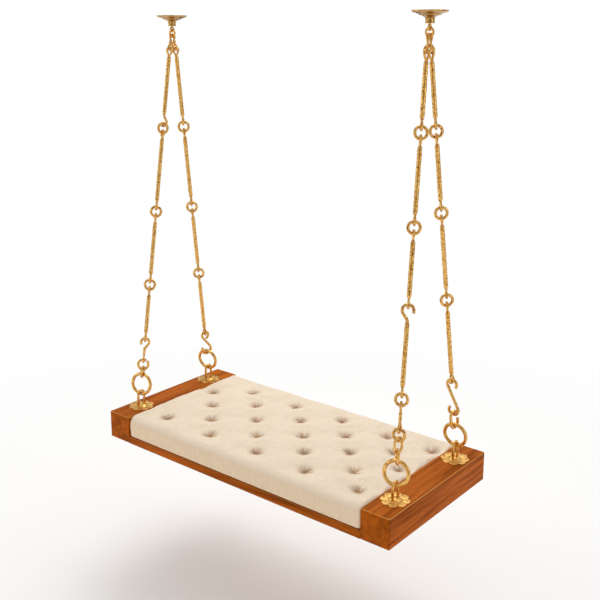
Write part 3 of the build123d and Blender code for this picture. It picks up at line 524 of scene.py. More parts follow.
POLISHED_DENTS = 0.00015
RING_SAG = TOP_RING_RADIUS - sqrt(TOP_RING_RADIUS**2 - LINK_SPREAD**2)
LINK_SEAT = TOP_RING_HEIGHT - TOP_RING_RADIUS + RING_SAG
EYE_TO_RING = CHAIN_RING_RADIUS - (CHAIN_RING_WIRE + ROD_EYE_WIRE) / 2 - PLAY


def next_top(bottom, wire, next_wire, play=PLAY):
    """Where the next piece's top wire lies when it hangs on a wire at this drop."""
    return bottom - (wire + next_wire) / 2 - play


def next_bottom(top, wire, next_wire, play=PLAY):
    """Where the piece above ends when this piece's top wire hangs in it at this drop."""
    return top + (wire + next_wire) / 2 + play


UPPER_RING_TOP = next_top(LINK_LENGTH, LINK_WIRE, UPPER_RING_WIRE, TWISTED_PLAY)
UPPER_RING_BOTTOM = UPPER_RING_TOP + 2 * UPPER_RING_RADIUS
FIRST_ROD_TOP = next_top(UPPER_RING_BOTTOM, UPPER_RING_WIRE, ROD_EYE_WIRE, TWISTED_PLAY)


class Chain:
    """One chain: a splayed link and ring under the top ring, then a straight line to the staple."""

    def __init__(self, end, side):
        self.name = f"{end}_{side}"
        self.body = f"{side}_chains"
        splay, outward = radians(LINK_SPLAY), ENDS[end]
        self.splay_up = Vector((0, -outward * sin(splay), cos(splay)))
        seat = Vector((SIDES[side] * HANGER_X - outward * LINK_SPREAD, 0, LINK_SEAT))
        self.link_top = seat + self.splay_up * ((TOP_RING_WIRE + LINK_WIRE) / 2 + SLANTED_PLAY)
        knee = self.link_top - self.splay_up * UPPER_RING_BOTTOM
        foot = Vector((SIDES[side] * STAPLE_X, outward * STAPLE_Y, PIVOT_HEIGHT))
        self.up = (knee - foot).normalized()
        self.top = knee + self.up * UPPER_RING_BOTTOM
        self.length = (self.top - foot).length
        self.ring_top = self.length + (BIG_RING_WIRE + STAPLE_WIRE) / 2 + TWISTED_PLAY - 2 * BIG_RING_RADIUS

    def at(self, drop):
        """The point on the chain's line at a drop below its top."""
        return self.top - self.up * drop

    def splayed_plane(self, drop, turn):
        """A turned plane at a drop down the splayed link."""
        return facing(self.link_top - self.splay_up * drop, self.splay_up, turn)

    def plane(self, drop, turn):
        """A turned plane at a drop down the chain's line, whose Y runs up."""
        return facing(self.at(drop), self.up, turn)

    def flipped_plane(self, drop, turn):
        """The same with its Y running down."""
        return facing(self.at(drop), -self.up, turn)

    def drops(self, *shares):
        """Shares of the chain's length as drops."""
        return [share * self.length for share in shares]

    def finish(self, style, work, node_name, metal=wire_brass):
        """A piece of this chain alone, from its wirework."""
        finished(f"{style}_{node_name}", work.mesh(), metal, self.body, node_name)


CHAINS = {f"{end}_{side}": Chain(end, side) for side in SIDES for end in ENDS}


def eye_on(work, plane, neck_end):
    """A drawn teardrop eye: a wire loop that closes into the neck of its rod."""
    radius = ROD_EYE_RADIUS
    spread = degrees(asin((radius - 0.0030) / ROD_EYE_NECK))
    rim = arc((0, -radius), radius, -spread, 180 + spread, 34)
    low = -radius - ROD_EYE_NECK + 0.002
    last_x, last_y = rim[-1]
    steps = (0.2, 0.4, 0.6, 0.8, 1.0)
    side = [(last_x * (1 - t) - 0.0018 * t, last_y * (1 - t) + low * t) for t in steps]
    loop = [(-x, y) for x, y in reversed(side)] + rim + side
    thin = [0.32 * min(max((-y - radius) / ROD_EYE_NECK, 0.0), 1.0) for x, y in loop]
    radii = [ROD_EYE_WIRE / 2 * (1 - share) for share in thin]
    work.wire([plane(x, y) for x, y in loop], radii, dents=EYE_DENTS)
    tongue = [plane(0, -radius - ROD_EYE_NECK * t) for t in (0.62, 0.72, 0.82, 0.92, 1.02, 1.12)]
    work.wire([*tongue, neck_end], (0.0026, 0.0037, 0.0043, 0.0047, *[NECK_RADIUS] * 3))


def bar(work, top, bottom, radius):
    """A straight hammered bar tapered to a neck at each end."""
    run = bottom - top
    steps = max(int(run.length / 0.0019), 12)
    path = [top + run * (i / steps) for i in range(steps + 1)]
    shares = [min((p - top).length / NECK_TAPER, (p - bottom).length / NECK_TAPER, 1.0) for p in path]
    radii = [NECK_RADIUS + (radius - NECK_RADIUS) * (3 * share**2 - 2 * share**3) for share in shares]
    work.wire(path, radii, sides=24, dents=HAMMER)


def crook_on(work, plane, wire, radius, tip_angle):
    """An open hook that bends over the plane's origin and comes back onto the stem's line."""
    reach = HOOK_REACH * radius
    over = arc((0, -radius), radius, tip_angle, 180 + degrees(asin(radius / (reach - radius))), 40)
    before, knee, after = (Vector(p) for p in (over[-1], (0, -reach), (0, -reach - wire)))
    back, on = (before - knee).normalized(), (after - knee).normalized()
    turn = back.angle(on)
    cut = wire * 1.4 / sin(turn / 2) * cos(turn / 2)
    cut = min(cut, (before - knee).length * 0.9, (after - knee).length * 0.9)
    start, end = knee + back * cut, knee + on * cut
    bend = [start * (1 - t) ** 2 + knee * 2 * t * (1 - t) + end * t**2 for t in (k / 8 for k in range(9))]
    path = [plane(x, y) for x, y in [*over, *bend, after]]
    work.wire(path, wire / 2, dents=HOOK_DENTS)


def rod(
    chain, number, top, bottom, top_turn, bottom_turn, head="eye", foot="eye", name=None, radius=ROD_RADIUS
):
    """A chain rod between the centre lines of its two end wires."""
    neck_drop = ROD_EYE_RADIUS + ROD_EYE_NECK - NECK_TAPER / 2
    stem_top, stem_bottom = top + neck_drop, bottom - neck_drop
    work = Wirework()
    if head == "eye":
        eye_on(work, chain.plane(top, top_turn), chain.at(stem_top + NECK_LAP))
    else:
        stem_top = top + HOOK_REACH * CROOK_RADIUS + NECK_TAPER / 3
        crook_on(work, chain.plane(top, top_turn), CROOK_WIRE, CROOK_RADIUS, -25)
    if foot == "eye":
        eye_on(work, chain.flipped_plane(bottom, bottom_turn), chain.at(stem_bottom - NECK_LAP))
    else:
        stem_bottom = bottom - HOOK_REACH * OPEN_HOOK_RADIUS - NECK_TAPER / 2
        crook_on(work, chain.flipped_plane(bottom, bottom_turn), OPEN_HOOK_WIRE, OPEN_HOOK_RADIUS, 15)
    bar(work, chain.at(stem_top), chain.at(stem_bottom), radius)
    chain.finish("hammered", work, name or f"{chain.name}_rod_{number}", rod_brass)


def plain_rods(chain, drops, rod_end, foot_turn):
    """A rear chain's four rods, with the joint rings at the given drops between them."""
    tops = [FIRST_ROD_TOP, *(drop + EYE_TO_RING for drop in drops)]
    bottoms = [*(drop - EYE_TO_RING for drop in drops), rod_end]
    for i, (top, bottom) in enumerate(zip(tops, bottoms)):
        rod(chain, i + 1, top, bottom, EDGE_TURN if i else TOP_EYE_TURN, foot_turn if i == 3 else EDGE_TURN)


def s_hook(chain, top, length, loop, radius, turn, open_angle, tip_angle):
    """An S-hook: its upper loop carries it, its lower loop carries the next ring."""
    lean = asin((loop + radius) / (length - loop - radius))
    lower = (0, -length + radius)
    path = arc((0, -loop), loop, open_angle, 180 + degrees(lean), 44)
    leave, meet = path[-1], (radius * cos(lean), lower[1] + radius * sin(lean))
    path += [tuple(a + (b - a) * t for a, b in zip(leave, meet)) for t in (0.25, 0.5, 0.75)]
    path += arc(lower, radius, degrees(lean), tip_angle - 360, 44)
    work, plane = Wirework(), chain.plane(top, turn)
    work.wire([plane(x, y) for x, y in path], HOOK_WIRE / 2, dents=HOOK_DENTS)
    chain.finish("forged", work, f"{chain.name}_hook")


def oval(work, plane, length, width, wire):
    """A closed link with straight sides, about the plane's origin."""
    radius = width / 2
    straight = length / 2 - radius
    side = [straight * t for t in (-0.6, -0.2, 0.2, 0.6)]
    flat = arc((0, straight), radius, 0, 180, 20) + [(-radius, y) for y in reversed(side)]
    flat += arc((0, -straight), radius, 180, 360, 20) + [(radius, y) for y in side]
    work.wire([plane(x, y) for x, y in flat], wire / 2, closed=True, dents=EYE_DENTS)


for side in SIDES:
    links, rings = Wirework(), Wirework()
    for end in ENDS:
        chain = CHAINS[f"{end}_{side}"]
        oval(links, chain.splayed_plane(LINK_LENGTH / 2, LINK_TURN), LINK_LENGTH, LINK_WIDTH, LINK_WIRE)
        ring_plane = chain.splayed_plane(UPPER_RING_TOP + UPPER_RING_RADIUS, UPPER_RING_TURN)
        rings.ring(ring_plane, UPPER_RING_RADIUS, UPPER_RING_WIRE, dents=RING_DENTS)
    finished(f"oval_links_{side}", links.mesh(), wire_brass, f"{side}_chains", f"top_links_{side}")
    finished(f"round_rings_{side}", rings.mesh(), wire_brass, f"{side}_chains", f"upper_rings_{side}")

for chain in CHAINS.values():
    big = Wirework()
    big_plane = chain.plane(chain.ring_top + BIG_RING_RADIUS, BIG_RING_TURN[chain.name])
    big.ring(big_plane, BIG_RING_RADIUS, BIG_RING_WIRE, sections=120, dents=POLISHED_DENTS)
    finished(f"heavy_{chain.name}_ring", big.mesh(), wire_brass, chain.body, f"{chain.name}_big_ring")


def joint_rings(side, places):
    """All round joint rings of one side, each by its chain, its centre's drop and its turn."""
    work = Wirework()
    for chain, drop, turn in places:
        ring_plane = chain.plane(drop, turn)
        work.ring(ring_plane, CHAIN_RING_RADIUS, CHAIN_RING_WIRE, sections=84, dents=HOOK_DENTS)
    finished(f"joint_rings_{side}", work.mesh(), rod_brass, f"{side}_chains", f"chain_rings_{side}")


# Front left: the first rod ends in an open hook; below hang a question-mark hook, an open C and a small link.
LINK_DROP = 0.042
C_RADIUS = 0.020
C_MOUTH = (58, 382)
C_CURL = (10, 21, 32, 42)
QUESTION_LENGTH = 0.099
QUESTION_RADIUS = 0.016
chain = CHAINS["front_left"]
drops = chain.drops(0.2546, 0.4853, 0.6921)
link_top = next_bottom(chain.ring_top, BIG_RING_WIRE, SMALL_LINK_WIRE) - LINK_DROP
c_top = next_bottom(link_top, SMALL_LINK_WIRE, HOOK_WIRE) - 2 * C_RADIUS
hook_bottom = next_bottom(c_top, HOOK_WIRE, ROD_EYE_WIRE)
hook_top = hook_bottom - QUESTION_LENGTH
rod_end = next_bottom(hook_top, HOOK_WIRE, ROD_EYE_WIRE)
small = Wirework()
oval(small, chain.plane(link_top + LINK_DROP / 2, 62), LINK_DROP, SMALL_LINK_WIDTH, SMALL_LINK_WIRE)
finished("bent_front_left_link", small.mesh(), wire_brass, chain.body, "front_left_small_link")
open_c = Wirework()
c_flat = arc((0, 0), C_RADIUS, *C_MOUTH, 70)
(tip_x, tip_y), lip = c_flat[-1], radians(C_MOUTH[1] - 360)
for bend in (radians(t) for t in C_CURL):
    along, aside = HOOK_WIRE * sin(bend), HOOK_WIRE * (1 - cos(bend))
    c_flat.append((tip_x - sin(lip) * along + cos(lip) * aside, tip_y + cos(lip) * along + sin(lip) * aside))
c_plane = chain.plane(c_top + C_RADIUS, 132)
open_c.wire([c_plane(x, y) for x, y in c_flat], HOOK_WIRE / 2, dents=HOOK_DENTS)
finished("open_front_left_link", open_c.mesh(), wire_brass, chain.body, "front_left_c_link")
question = Wirework()
crook_on(question, chain.plane(hook_top, -48), HOOK_WIRE, QUESTION_RADIUS, -35)
shaft_top = hook_top + HOOK_REACH * QUESTION_RADIUS
shaft_low = hook_bottom - ROD_EYE_RADIUS - ROD_EYE_NECK + NECK_TAPER / 2
shaft = [chain.at(shaft_top + (shaft_low - shaft_top) * t) for t in (-0.2, 0.0, 0.3, 0.6, 0.9, 1.0)]
question.wire(shaft, (0.0054, 0.0055, 0.0055, 0.0055, 0.0052, 0.0050))
eye_on(question, chain.flipped_plane(hook_bottom, 42), chain.at(shaft_low - NECK_LAP))
chain.finish("forged", question, "front_left_hook")
slack = TWISTED_PLAY - PLAY
rod(chain, 1, FIRST_ROD_TOP, drops[0] - EYE_TO_RING + slack, TOP_EYE_TURN, 172, foot="hook")
rod(chain, 2, drops[0] + EYE_TO_RING - slack, drops[1] - EYE_TO_RING, 20, EDGE_TURN)
rod(chain, 3, drops[1] + EYE_TO_RING, drops[2] - EYE_TO_RING, EDGE_TURN, EDGE_TURN)
rod(chain, 4, drops[2] + EYE_TO_RING, rod_end, EDGE_TURN, EDGE_TURN)
left_places = [(chain, drop, turn) for drop, turn in zip(drops, (105, FACE_TURN, FACE_TURN))]

# Rear left: an S-hook with a closed upper loop goes straight into the big ring.
S_LENGTH = 0.100
chain = CHAINS["rear_left"]
drops = chain.drops(0.2567, 0.4923, 0.6977)
hook_top = next_bottom(chain.ring_top, BIG_RING_WIRE, HOOK_WIRE) - S_LENGTH
s_hook(chain, hook_top, S_LENGTH, 0.015, 0.0205, 108, -80, 150)
plain_rods(chain, drops, next_bottom(hook_top, HOOK_WIRE, ROD_EYE_WIRE), 198)
joint_rings("left", left_places + [(chain, drop, FACE_TURN) for drop in drops])

# Front right: the last rod begins with a crook; then a ring, a two-eyed connector, a ring, two small links.
OVAL_LENGTH = 0.049
CONNECTOR_LENGTH = 0.098
chain = CHAINS["front_right"]
first_drop, second_drop, crook_drop = chain.drops(0.2145, 0.4220, 0.5936)
low_top = next_bottom(chain.ring_top, BIG_RING_WIRE, SMALL_LINK_WIRE, TWISTED_PLAY) - OVAL_LENGTH
high_top = next_bottom(low_top, SMALL_LINK_WIRE, SMALL_LINK_WIRE) - OVAL_LENGTH
low_ring = next_bottom(high_top, SMALL_LINK_WIRE, CHAIN_RING_WIRE, TWISTED_PLAY) - CHAIN_RING_RADIUS
connector_bottom = next_bottom(low_ring - CHAIN_RING_RADIUS, CHAIN_RING_WIRE, ROD_EYE_WIRE)
connector_top = connector_bottom - CONNECTOR_LENGTH
high_ring = next_bottom(connector_top, ROD_EYE_WIRE, CHAIN_RING_WIRE) - CHAIN_RING_RADIUS
rod_end = next_bottom(high_ring - CHAIN_RING_RADIUS, CHAIN_RING_WIRE, ROD_EYE_WIRE)
ovals = Wirework()
for top, turn in ((high_top, 108), (low_top, 45)):
    oval(ovals, chain.plane(top + OVAL_LENGTH / 2, turn), OVAL_LENGTH, SMALL_LINK_WIDTH, SMALL_LINK_WIRE)
finished("bent_front_right_links", ovals.mesh(), wire_brass, chain.body, "front_right_small_links")
rod(chain, 5, connector_top, connector_bottom, 62, 80, name="front_right_connector", radius=0.006)
rod(chain, 1, FIRST_ROD_TOP, first_drop - EYE_TO_RING, TOP_EYE_TURN, EDGE_TURN)
rod(chain, 2, first_drop + EYE_TO_RING, second_drop - EYE_TO_RING, EDGE_TURN, EDGE_TURN)
rod(chain, 3, second_drop + EYE_TO_RING, next_bottom(crook_drop, CROOK_WIRE, ROD_EYE_WIRE), EDGE_TURN, 60)
rod(chain, 4, crook_drop, rod_end, 148, 62, head="crook")
ring_turns = {first_drop: FACE_TURN, second_drop: FACE_TURN, high_ring: 155, low_ring: 170}
right_places = [(chain, drop, turn) for drop, turn in ring_turns.items()]

# Rear right: an S-hook and a tall open C-link.
TALL_LENGTH = 0.062
TALL_RADIUS = 0.016
TALL_HOOK = 0.134
chain = CHAINS["rear_right"]
drops = chain.drops(0.2173, 0.4079, 0.6225)
c_top = next_bottom(chain.ring_top, BIG_RING_WIRE, HOOK_WIRE) - TALL_LENGTH
hook_top = next_bottom(c_top, HOOK_WIRE, HOOK_WIRE) - TALL_HOOK
tall = Wirework()
straight = TALL_LENGTH / 2 - TALL_RADIUS
tall_plane = chain.plane(c_top + TALL_LENGTH / 2, 105)
tall_flat = [(TALL_RADIUS, -straight * t) for t in (0.0, 0.3, 0.6, 0.85)]
tall_flat += arc((0, -straight), TALL_RADIUS, 0, -180, 30)
tall_flat += [(-TALL_RADIUS, straight * t) for t in (-0.6, -0.2, 0.2, 0.6)]
tall_flat += arc((0, straight), TALL_RADIUS, 180, 25, 26)
tall.wire([tall_plane(x, y) for x, y in tall_flat], HOOK_WIRE / 2, dents=HOOK_DENTS)
finished("open_rear_right_link", tall.mesh(), wire_brass, chain.body, "rear_right_c_link")
s_hook(chain, hook_top, TALL_HOOK, 0.0175, 0.0175, 175, -40, 140)
plain_rods(chain, drops, next_bottom(hook_top, HOOK_WIRE, ROD_EYE_WIRE), 95)
joint_rings("right", right_places + [(chain, drop, FACE_TURN) for drop in drops])


# ---------------------------------------------------------------- seat frame
# Two heavy end beams and low rails of oiled sheesham, with painted shade making the sides darker than the top.
# The beams' grain runs from front to rear; rails are tenoned in, and a plywood deck lies in the rails'
# rebates.
# The top and side colours are the wood painted as lit on top and as shaded at the sides.
WOOD_LIT_TOP = (0.50, 0.120, 0.007)
WOOD_SHADED_SIDE = (0.47, 0.105, 0.006)
WOOD_DARK = (0.150, 0.028, 0.002)
# The rubbed-edge colour is wear painted with a highlight.
WOOD_WORN_HIGHLIGHT = (0.80, 0.42, 0.12)
ARRIS_TURN = 24


def upwards(material):
    """How far the surface faces up."""
    return node(material, "SeparateXYZ", Vector=node(material, "NewGeometry").outputs["Normal"]).outputs["Z"]


def edge_distance(material, low, high):
    """How far a point on a block's skin lies from the block's nearest long edge."""
    point = node(material, "SeparateXYZ", Vector=own_point(material)).outputs
    gaps = []
    for axis, least, most in zip("XYZ", low, high):
        offset = maths(material, "SUBTRACT", point[axis], (least + most) / 2)
        gaps.append(maths(material, "SUBTRACT", (most - least) / 2, maths(material, "ABSOLUTE", offset)))
    first, second, third = gaps
    nearest = maths(material, "MINIMUM", maths(material, "MINIMUM", first, second), third)
    farthest = maths(material, "MAXIMUM", maths(material, "MAXIMUM", first, second), third)
    total = maths(material, "ADD", maths(material, "ADD", first, second), third)
    return maths(material, "SUBTRACT", maths(material, "SUBTRACT", total, nearest), farthest)


def timber(name, grain_axis, node_name):
    """Oiled hardwood, grain along one axis; painted lighter on top, rubbed edges with a painted highlight and
    shade.
    """
    wood = new_material(name, Specular_IOR_Level=0.06, Specular_Tint=(1.0, 0.55, 0.20))
    grain = object_place(wood, [2.6 if axis == grain_axis else 46.0 for axis in "XYZ"])
    warp = mottled(wood, grain, 0.6, Detail=2.0)
    figure = mottled(wood, grain, Detail=8.0, Roughness=0.62, Distortion=0.6)
    fine_grain = object_place(wood, [9.0 if axis == grain_axis else 620.0 for axis in "XYZ"])
    pores = mottled(wood, fine_grain, Detail=3.0, Roughness=0.7)
    upward = upwards(wood)
    # Painted light and shade: upward faces take the lit top colour, and the sides take the shaded one.
    ground = mixed(wood, remapped(wood, upward, 0.4, 0.9), WOOD_SHADED_SIDE, WOOD_LIT_TOP)
    streak = shades(wood, figure, (0.33, 0.74), (0.46, 0.30), (0.60, 0.0))
    body = mixed(wood, streak, ground, WOOD_DARK)
    body = mixed(wood, 1.0, body, shades(wood, warp, (0.35, 0.82), (0.65, 1.12)), "MULTIPLY")
    body = mixed(wood, 1.0, body, shades(wood, pores, (0.38, 0.55), (0.47, 1.0)), "MULTIPLY")
    # A band along the arrises: rubbed wear, painted with a highlight where it faces up and with shade where it
    # faces down.
    edge = edge_distance(wood, *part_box(node_name))
    rough_edge = maths(wood, "ADD", edge, maths(wood, "MULTIPLY", figure, 0.0035))
    edge_wear_and_light = maths(wood, "MULTIPLY", remapped(wood, rough_edge, 0.0042, 0.0022), 0.8)
    edge_highlight_and_shade = mixed(wood, remapped(wood, upward, 0.10, 0.45), WOOD_DARK, WOOD_WORN_HIGHLIGHT)
    coat(
        wood,
        Base_Color=mixed(wood, edge_wear_and_light, body, edge_highlight_and_shade),
        Roughness=remapped(wood, figure, 0.35, 0.65, 0.60, 0.42),
        Normal=bumped(wood, figure, 0.22, 0.0012, Normal=bumped(wood, pores, 0.35, 0.0005)),
    )
    return wood


def merged_copy(node_name):
    """A CAD node's mesh with its triangles joined up and its arrises kept sharp."""
    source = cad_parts[node_name]
    shell = bmesh.new()
    shell.from_mesh(source.data)
    shell.transform(source.matrix_world)
    bmesh.ops.remove_doubles(shell, verts=shell.verts, dist=1e-5)
    for edge in shell.edges:
        edge.smooth = len(edge.link_faces) == 2 and edge.calc_face_angle(0) < radians(ARRIS_TURN)
    return smooth_mesh(shell)


for side in SIDES:
    wood = timber(f"sheesham beam {side}", "Y", f"end_beam_{side}")
    finished(f"oiled_beam_{side}", merged_copy(f"end_beam_{side}"), wood, "seat", f"end_beam_{side}")
for end in ENDS:
    wood = timber(f"sheesham rail {end}", "X", f"{end}_rail")
    finished(f"oiled_{end}_rail", merged_copy(f"{end}_rail"), wood, "seat", f"{end}_rail")
slat_wood = timber("slat wood", "Y", "deck_slats")
finished("planed_slats", merged_copy("deck_slats"), slat_wood, "seat", "deck_slats")

plywood = new_material("birch plywood", Roughness=0.6)
ply_place = object_place(plywood, (2.2, 38.0, 38.0))
ply_figure = mottled(plywood, ply_place, Detail=6.0, Roughness=0.6, Distortion=0.4)
ply_layers = node(plywood, "TexWave", Vector=object_place(plywood), Scale=130.0, Distortion=0.2)
ply_layers.bands_direction = "Z"
ply_tone = shades(plywood, ply_figure, (0.35, (0.42, 0.25, 0.11)), (0.65, (0.62, 0.42, 0.22)))
ply_stripe = shades(plywood, ply_layers.outputs["Fac"], (0.35, 0.62), (0.65, 1.0))
ply_relief = bumped(plywood, ply_figure, 0.2, 0.0008)
coat(plywood, Base_Color=mixed(plywood, 1.0, ply_tone, ply_stripe, "MULTIPLY"), Normal=ply_relief)
finished("plywood_deck", merged_copy("seat_deck"), plywood, "seat", "seat_deck")

steel = new_material("zinc plated steel", Metallic=1.0)
zinc = mottled(steel, object_place(steel), 420.0, Detail=4.0)
coat(
    steel,
    Base_Color=shades(steel, zinc, (0.35, (0.38, 0.37, 0.35)), (0.65, (0.60, 0.60, 0.59))),
    Roughness=remapped(steel, zinc, 0.3, 0.7, 0.28, 0.48),
    Normal=bumped(steel, zinc, 0.2, 0.0003),
)
finished("plated_washers", merged_copy("staple_washers"), steel, "seat", "staple_washers")
finished("plated_nuts", merged_copy("staple_nuts"), steel, "seat", "staple_nuts")
for side in SIDES:
    plate_name = f"ceiling_plate_{side}"
    finished(f"steel_{plate_name}", merged_copy(plate_name), steel, "ceiling", plate_name)


# ---------------------------------------------------------------- staples and petal plates
# On each beam, two round brass staples stand in eight-petalled chased plates. Each petal is raised, chased
# with three punch marks and held by one dark nail.
BEAM_TOP = 0.107
STAPLE_SPREAD = 0.031
STAPLE_LEG_END = 0.004
STAPLE_STEPS = 26
PETALS = 8
PETAL_CIRCLE = 0.035
PETAL_RADIUS = 0.0163
BOSS_RADIUS = 0.023
BOSS_HEIGHT = 0.0062
PLATE_RISE = 0.0023
PLATE_TURNS = 352
PLATE_RINGS = 46
NAIL_CIRCLE = 0.039
PUNCH_MARKS = ((0.0462, 9.5), (0.0462, -9.5), (0.0305, 0.0))
PUNCH_SIZE = 0.0012
PETAL_SWELL = 0.0007
SEAM_SIZE = 0.0011
SLIT_WIDTH = 0.0009
SLIT_DEPTH = 0.0016
GROOVE_WIDTH = 0.0010
GROOVE_DEPTH = 0.0008
PETAL_ANGLE = 2 * pi / PETALS


def eased(value):
    """A value held between nothing and one."""
    return min(max(value, 0.0), 1.0)


def dip(gap, width):
    """A rounded groove's share of its depth, at a gap from its middle."""
    return exp(-((gap / width) ** 2))


def plate_height(radius, angle, share, x, y, seed):
    """How high the chased plate stands at a point, over its flat underside."""
    petal_turn = angle % PETAL_ANGLE - PETAL_ANGLE / 2
    along, beside = radius * cos(petal_turn), radius * sin(petal_turn)
    from_middle = hypot(along - PETAL_CIRCLE, beside) / PETAL_RADIUS
    height = PLATE_RISE + PETAL_SWELL * max(0.0, 1 - from_middle**2)
    notch_turn = min(angle % PETAL_ANGLE, PETAL_ANGLE - angle % PETAL_ANGLE)
    height -= SEAM_SIZE * dip(radius * sin(notch_turn), SEAM_SIZE) * eased((radius - 0.022) / 0.006)
    if y < 0 and abs(x) < 0.006:
        height -= SLIT_DEPTH * dip(x, SLIT_WIDTH) * eased((radius - 0.012) / 0.004)
    for mark, turn in PUNCH_MARKS:
        gap = hypot(along - mark * cos(radians(turn)), beside - mark * sin(radians(turn)))
        height -= PUNCH_SIZE * dip(gap, PUNCH_SIZE)
    height += BOSS_HEIGHT * max(0.0, 1 - (radius / BOSS_RADIUS) ** 2.4)
    height -= GROOVE_DEPTH * dip(radius - BOSS_RADIUS - GROOVE_WIDTH, GROOVE_WIDTH)
    for pitch, depth in ((380, 0.00040), (900, 0.00020)):
        height += noise.noise(Vector((x * pitch, y * pitch, seed))) * depth
    edge_drop = max(0.0, (share - 0.95) / 0.05)
    return max(height * sqrt(max(0.0, 1 - edge_drop**2)), 0.0)


def petal_plate(centre):
    """An eight-petalled plate as a polar height field, closed underneath."""
    shell = bmesh.new()
    rows = []
    for i in range(PLATE_RINGS + 1):
        share = (i / PLATE_RINGS) ** 0.85
        row = []
        for k in range(PLATE_TURNS if i else 1):
            angle = 2 * pi * k / PLATE_TURNS
            petal_turn = angle % PETAL_ANGLE - PETAL_ANGLE / 2
            across = PETAL_CIRCLE * sin(petal_turn)
            radius = share * (PETAL_CIRCLE * cos(petal_turn) + sqrt(PETAL_RADIUS**2 - across**2))
            x, y = radius * cos(angle), radius * sin(angle)
            height = plate_height(radius, angle, share, x, y, centre[0] + 3 * centre[1])
            row.append(shell.verts.new((centre[0] + x, centre[1] + y, BEAM_TOP + height)))
        rows.append(row)
    (hub,), *rows = rows
    foot = shell.verts.new((*centre, BEAM_TOP))
    for k in range(PLATE_TURNS):
        m = (k + 1) % PLATE_TURNS
        shell.faces.new((hub, rows[0][k], rows[0][m]))
        shell.faces.new((foot, rows[-1][m], rows[-1][k]))
        for inner, outer in zip(rows, rows[1:]):
            shell.faces.new((inner[k], outer[k], outer[m], inner[m]))
    return smooth_mesh(shell)


plate_brass = brass(
    "chased plate brass", roughness=0.30, grain=700.0, grain_depth=0.0004, patina=0.55, patina_size=90.0
)
bows = Wirework()
shoulder = STAPLE_SPREAD / 2
leg_end = STAPLE_LEG_END - PIVOT_HEIGHT
leg = [(-shoulder, leg_end + (-shoulder - leg_end) * i / STAPLE_STEPS) for i in range(STAPLE_STEPS)]
bow = leg + arc((0, -shoulder), shoulder, 180, 0, 30) + [(-x, y) for x, y in reversed(leg)]
for side in SIDES:
    for end in ENDS:
        centre = (SIDES[side] * STAPLE_X, ENDS[end] * STAPLE_Y)
        plate_name = f"{end}_{side}_plate"
        finished(f"chased_{plate_name}", petal_plate(centre), plate_brass, "seat", plate_name)
        spots = [(centre[0], centre[1] + y, PIVOT_HEIGHT + z) for y, z in bow]
        bows.wire(spots, STAPLE_WIRE / 2, sides=28, dents=POLISHED_DENTS)
finished("round_staples", bows.mesh(), wire_brass, "seat", "staples")


def turned_solid(profile, sections=14):
    """A small solid turned about its own upright axis; the profile runs from pole to pole in millimetres."""
    shell = bmesh.new()
    (_, low), *middle, (_, high) = [(radius / 1000, height / 1000) for radius, height in profile]
    turns = [2 * pi * k / sections for k in range(sections)]
    rows = [[shell.verts.new((r * cos(a), r * sin(a), z)) for a in turns] for r, z in middle]
    foot, head = shell.verts.new((0, 0, low)), shell.verts.new((0, 0, high))
    for k in range(sections):
        m = (k + 1) % sections
        shell.faces.new((foot, rows[0][m], rows[0][k]))
        shell.faces.new((head, rows[-1][k], rows[-1][m]))
        for under, over in zip(rows, rows[1:]):
            shell.faces.new((under[k], under[m], over[m], over[k]))
    bmesh.ops.recalc_face_normals(shell, faces=shell.faces)
    return smooth_mesh(shell)


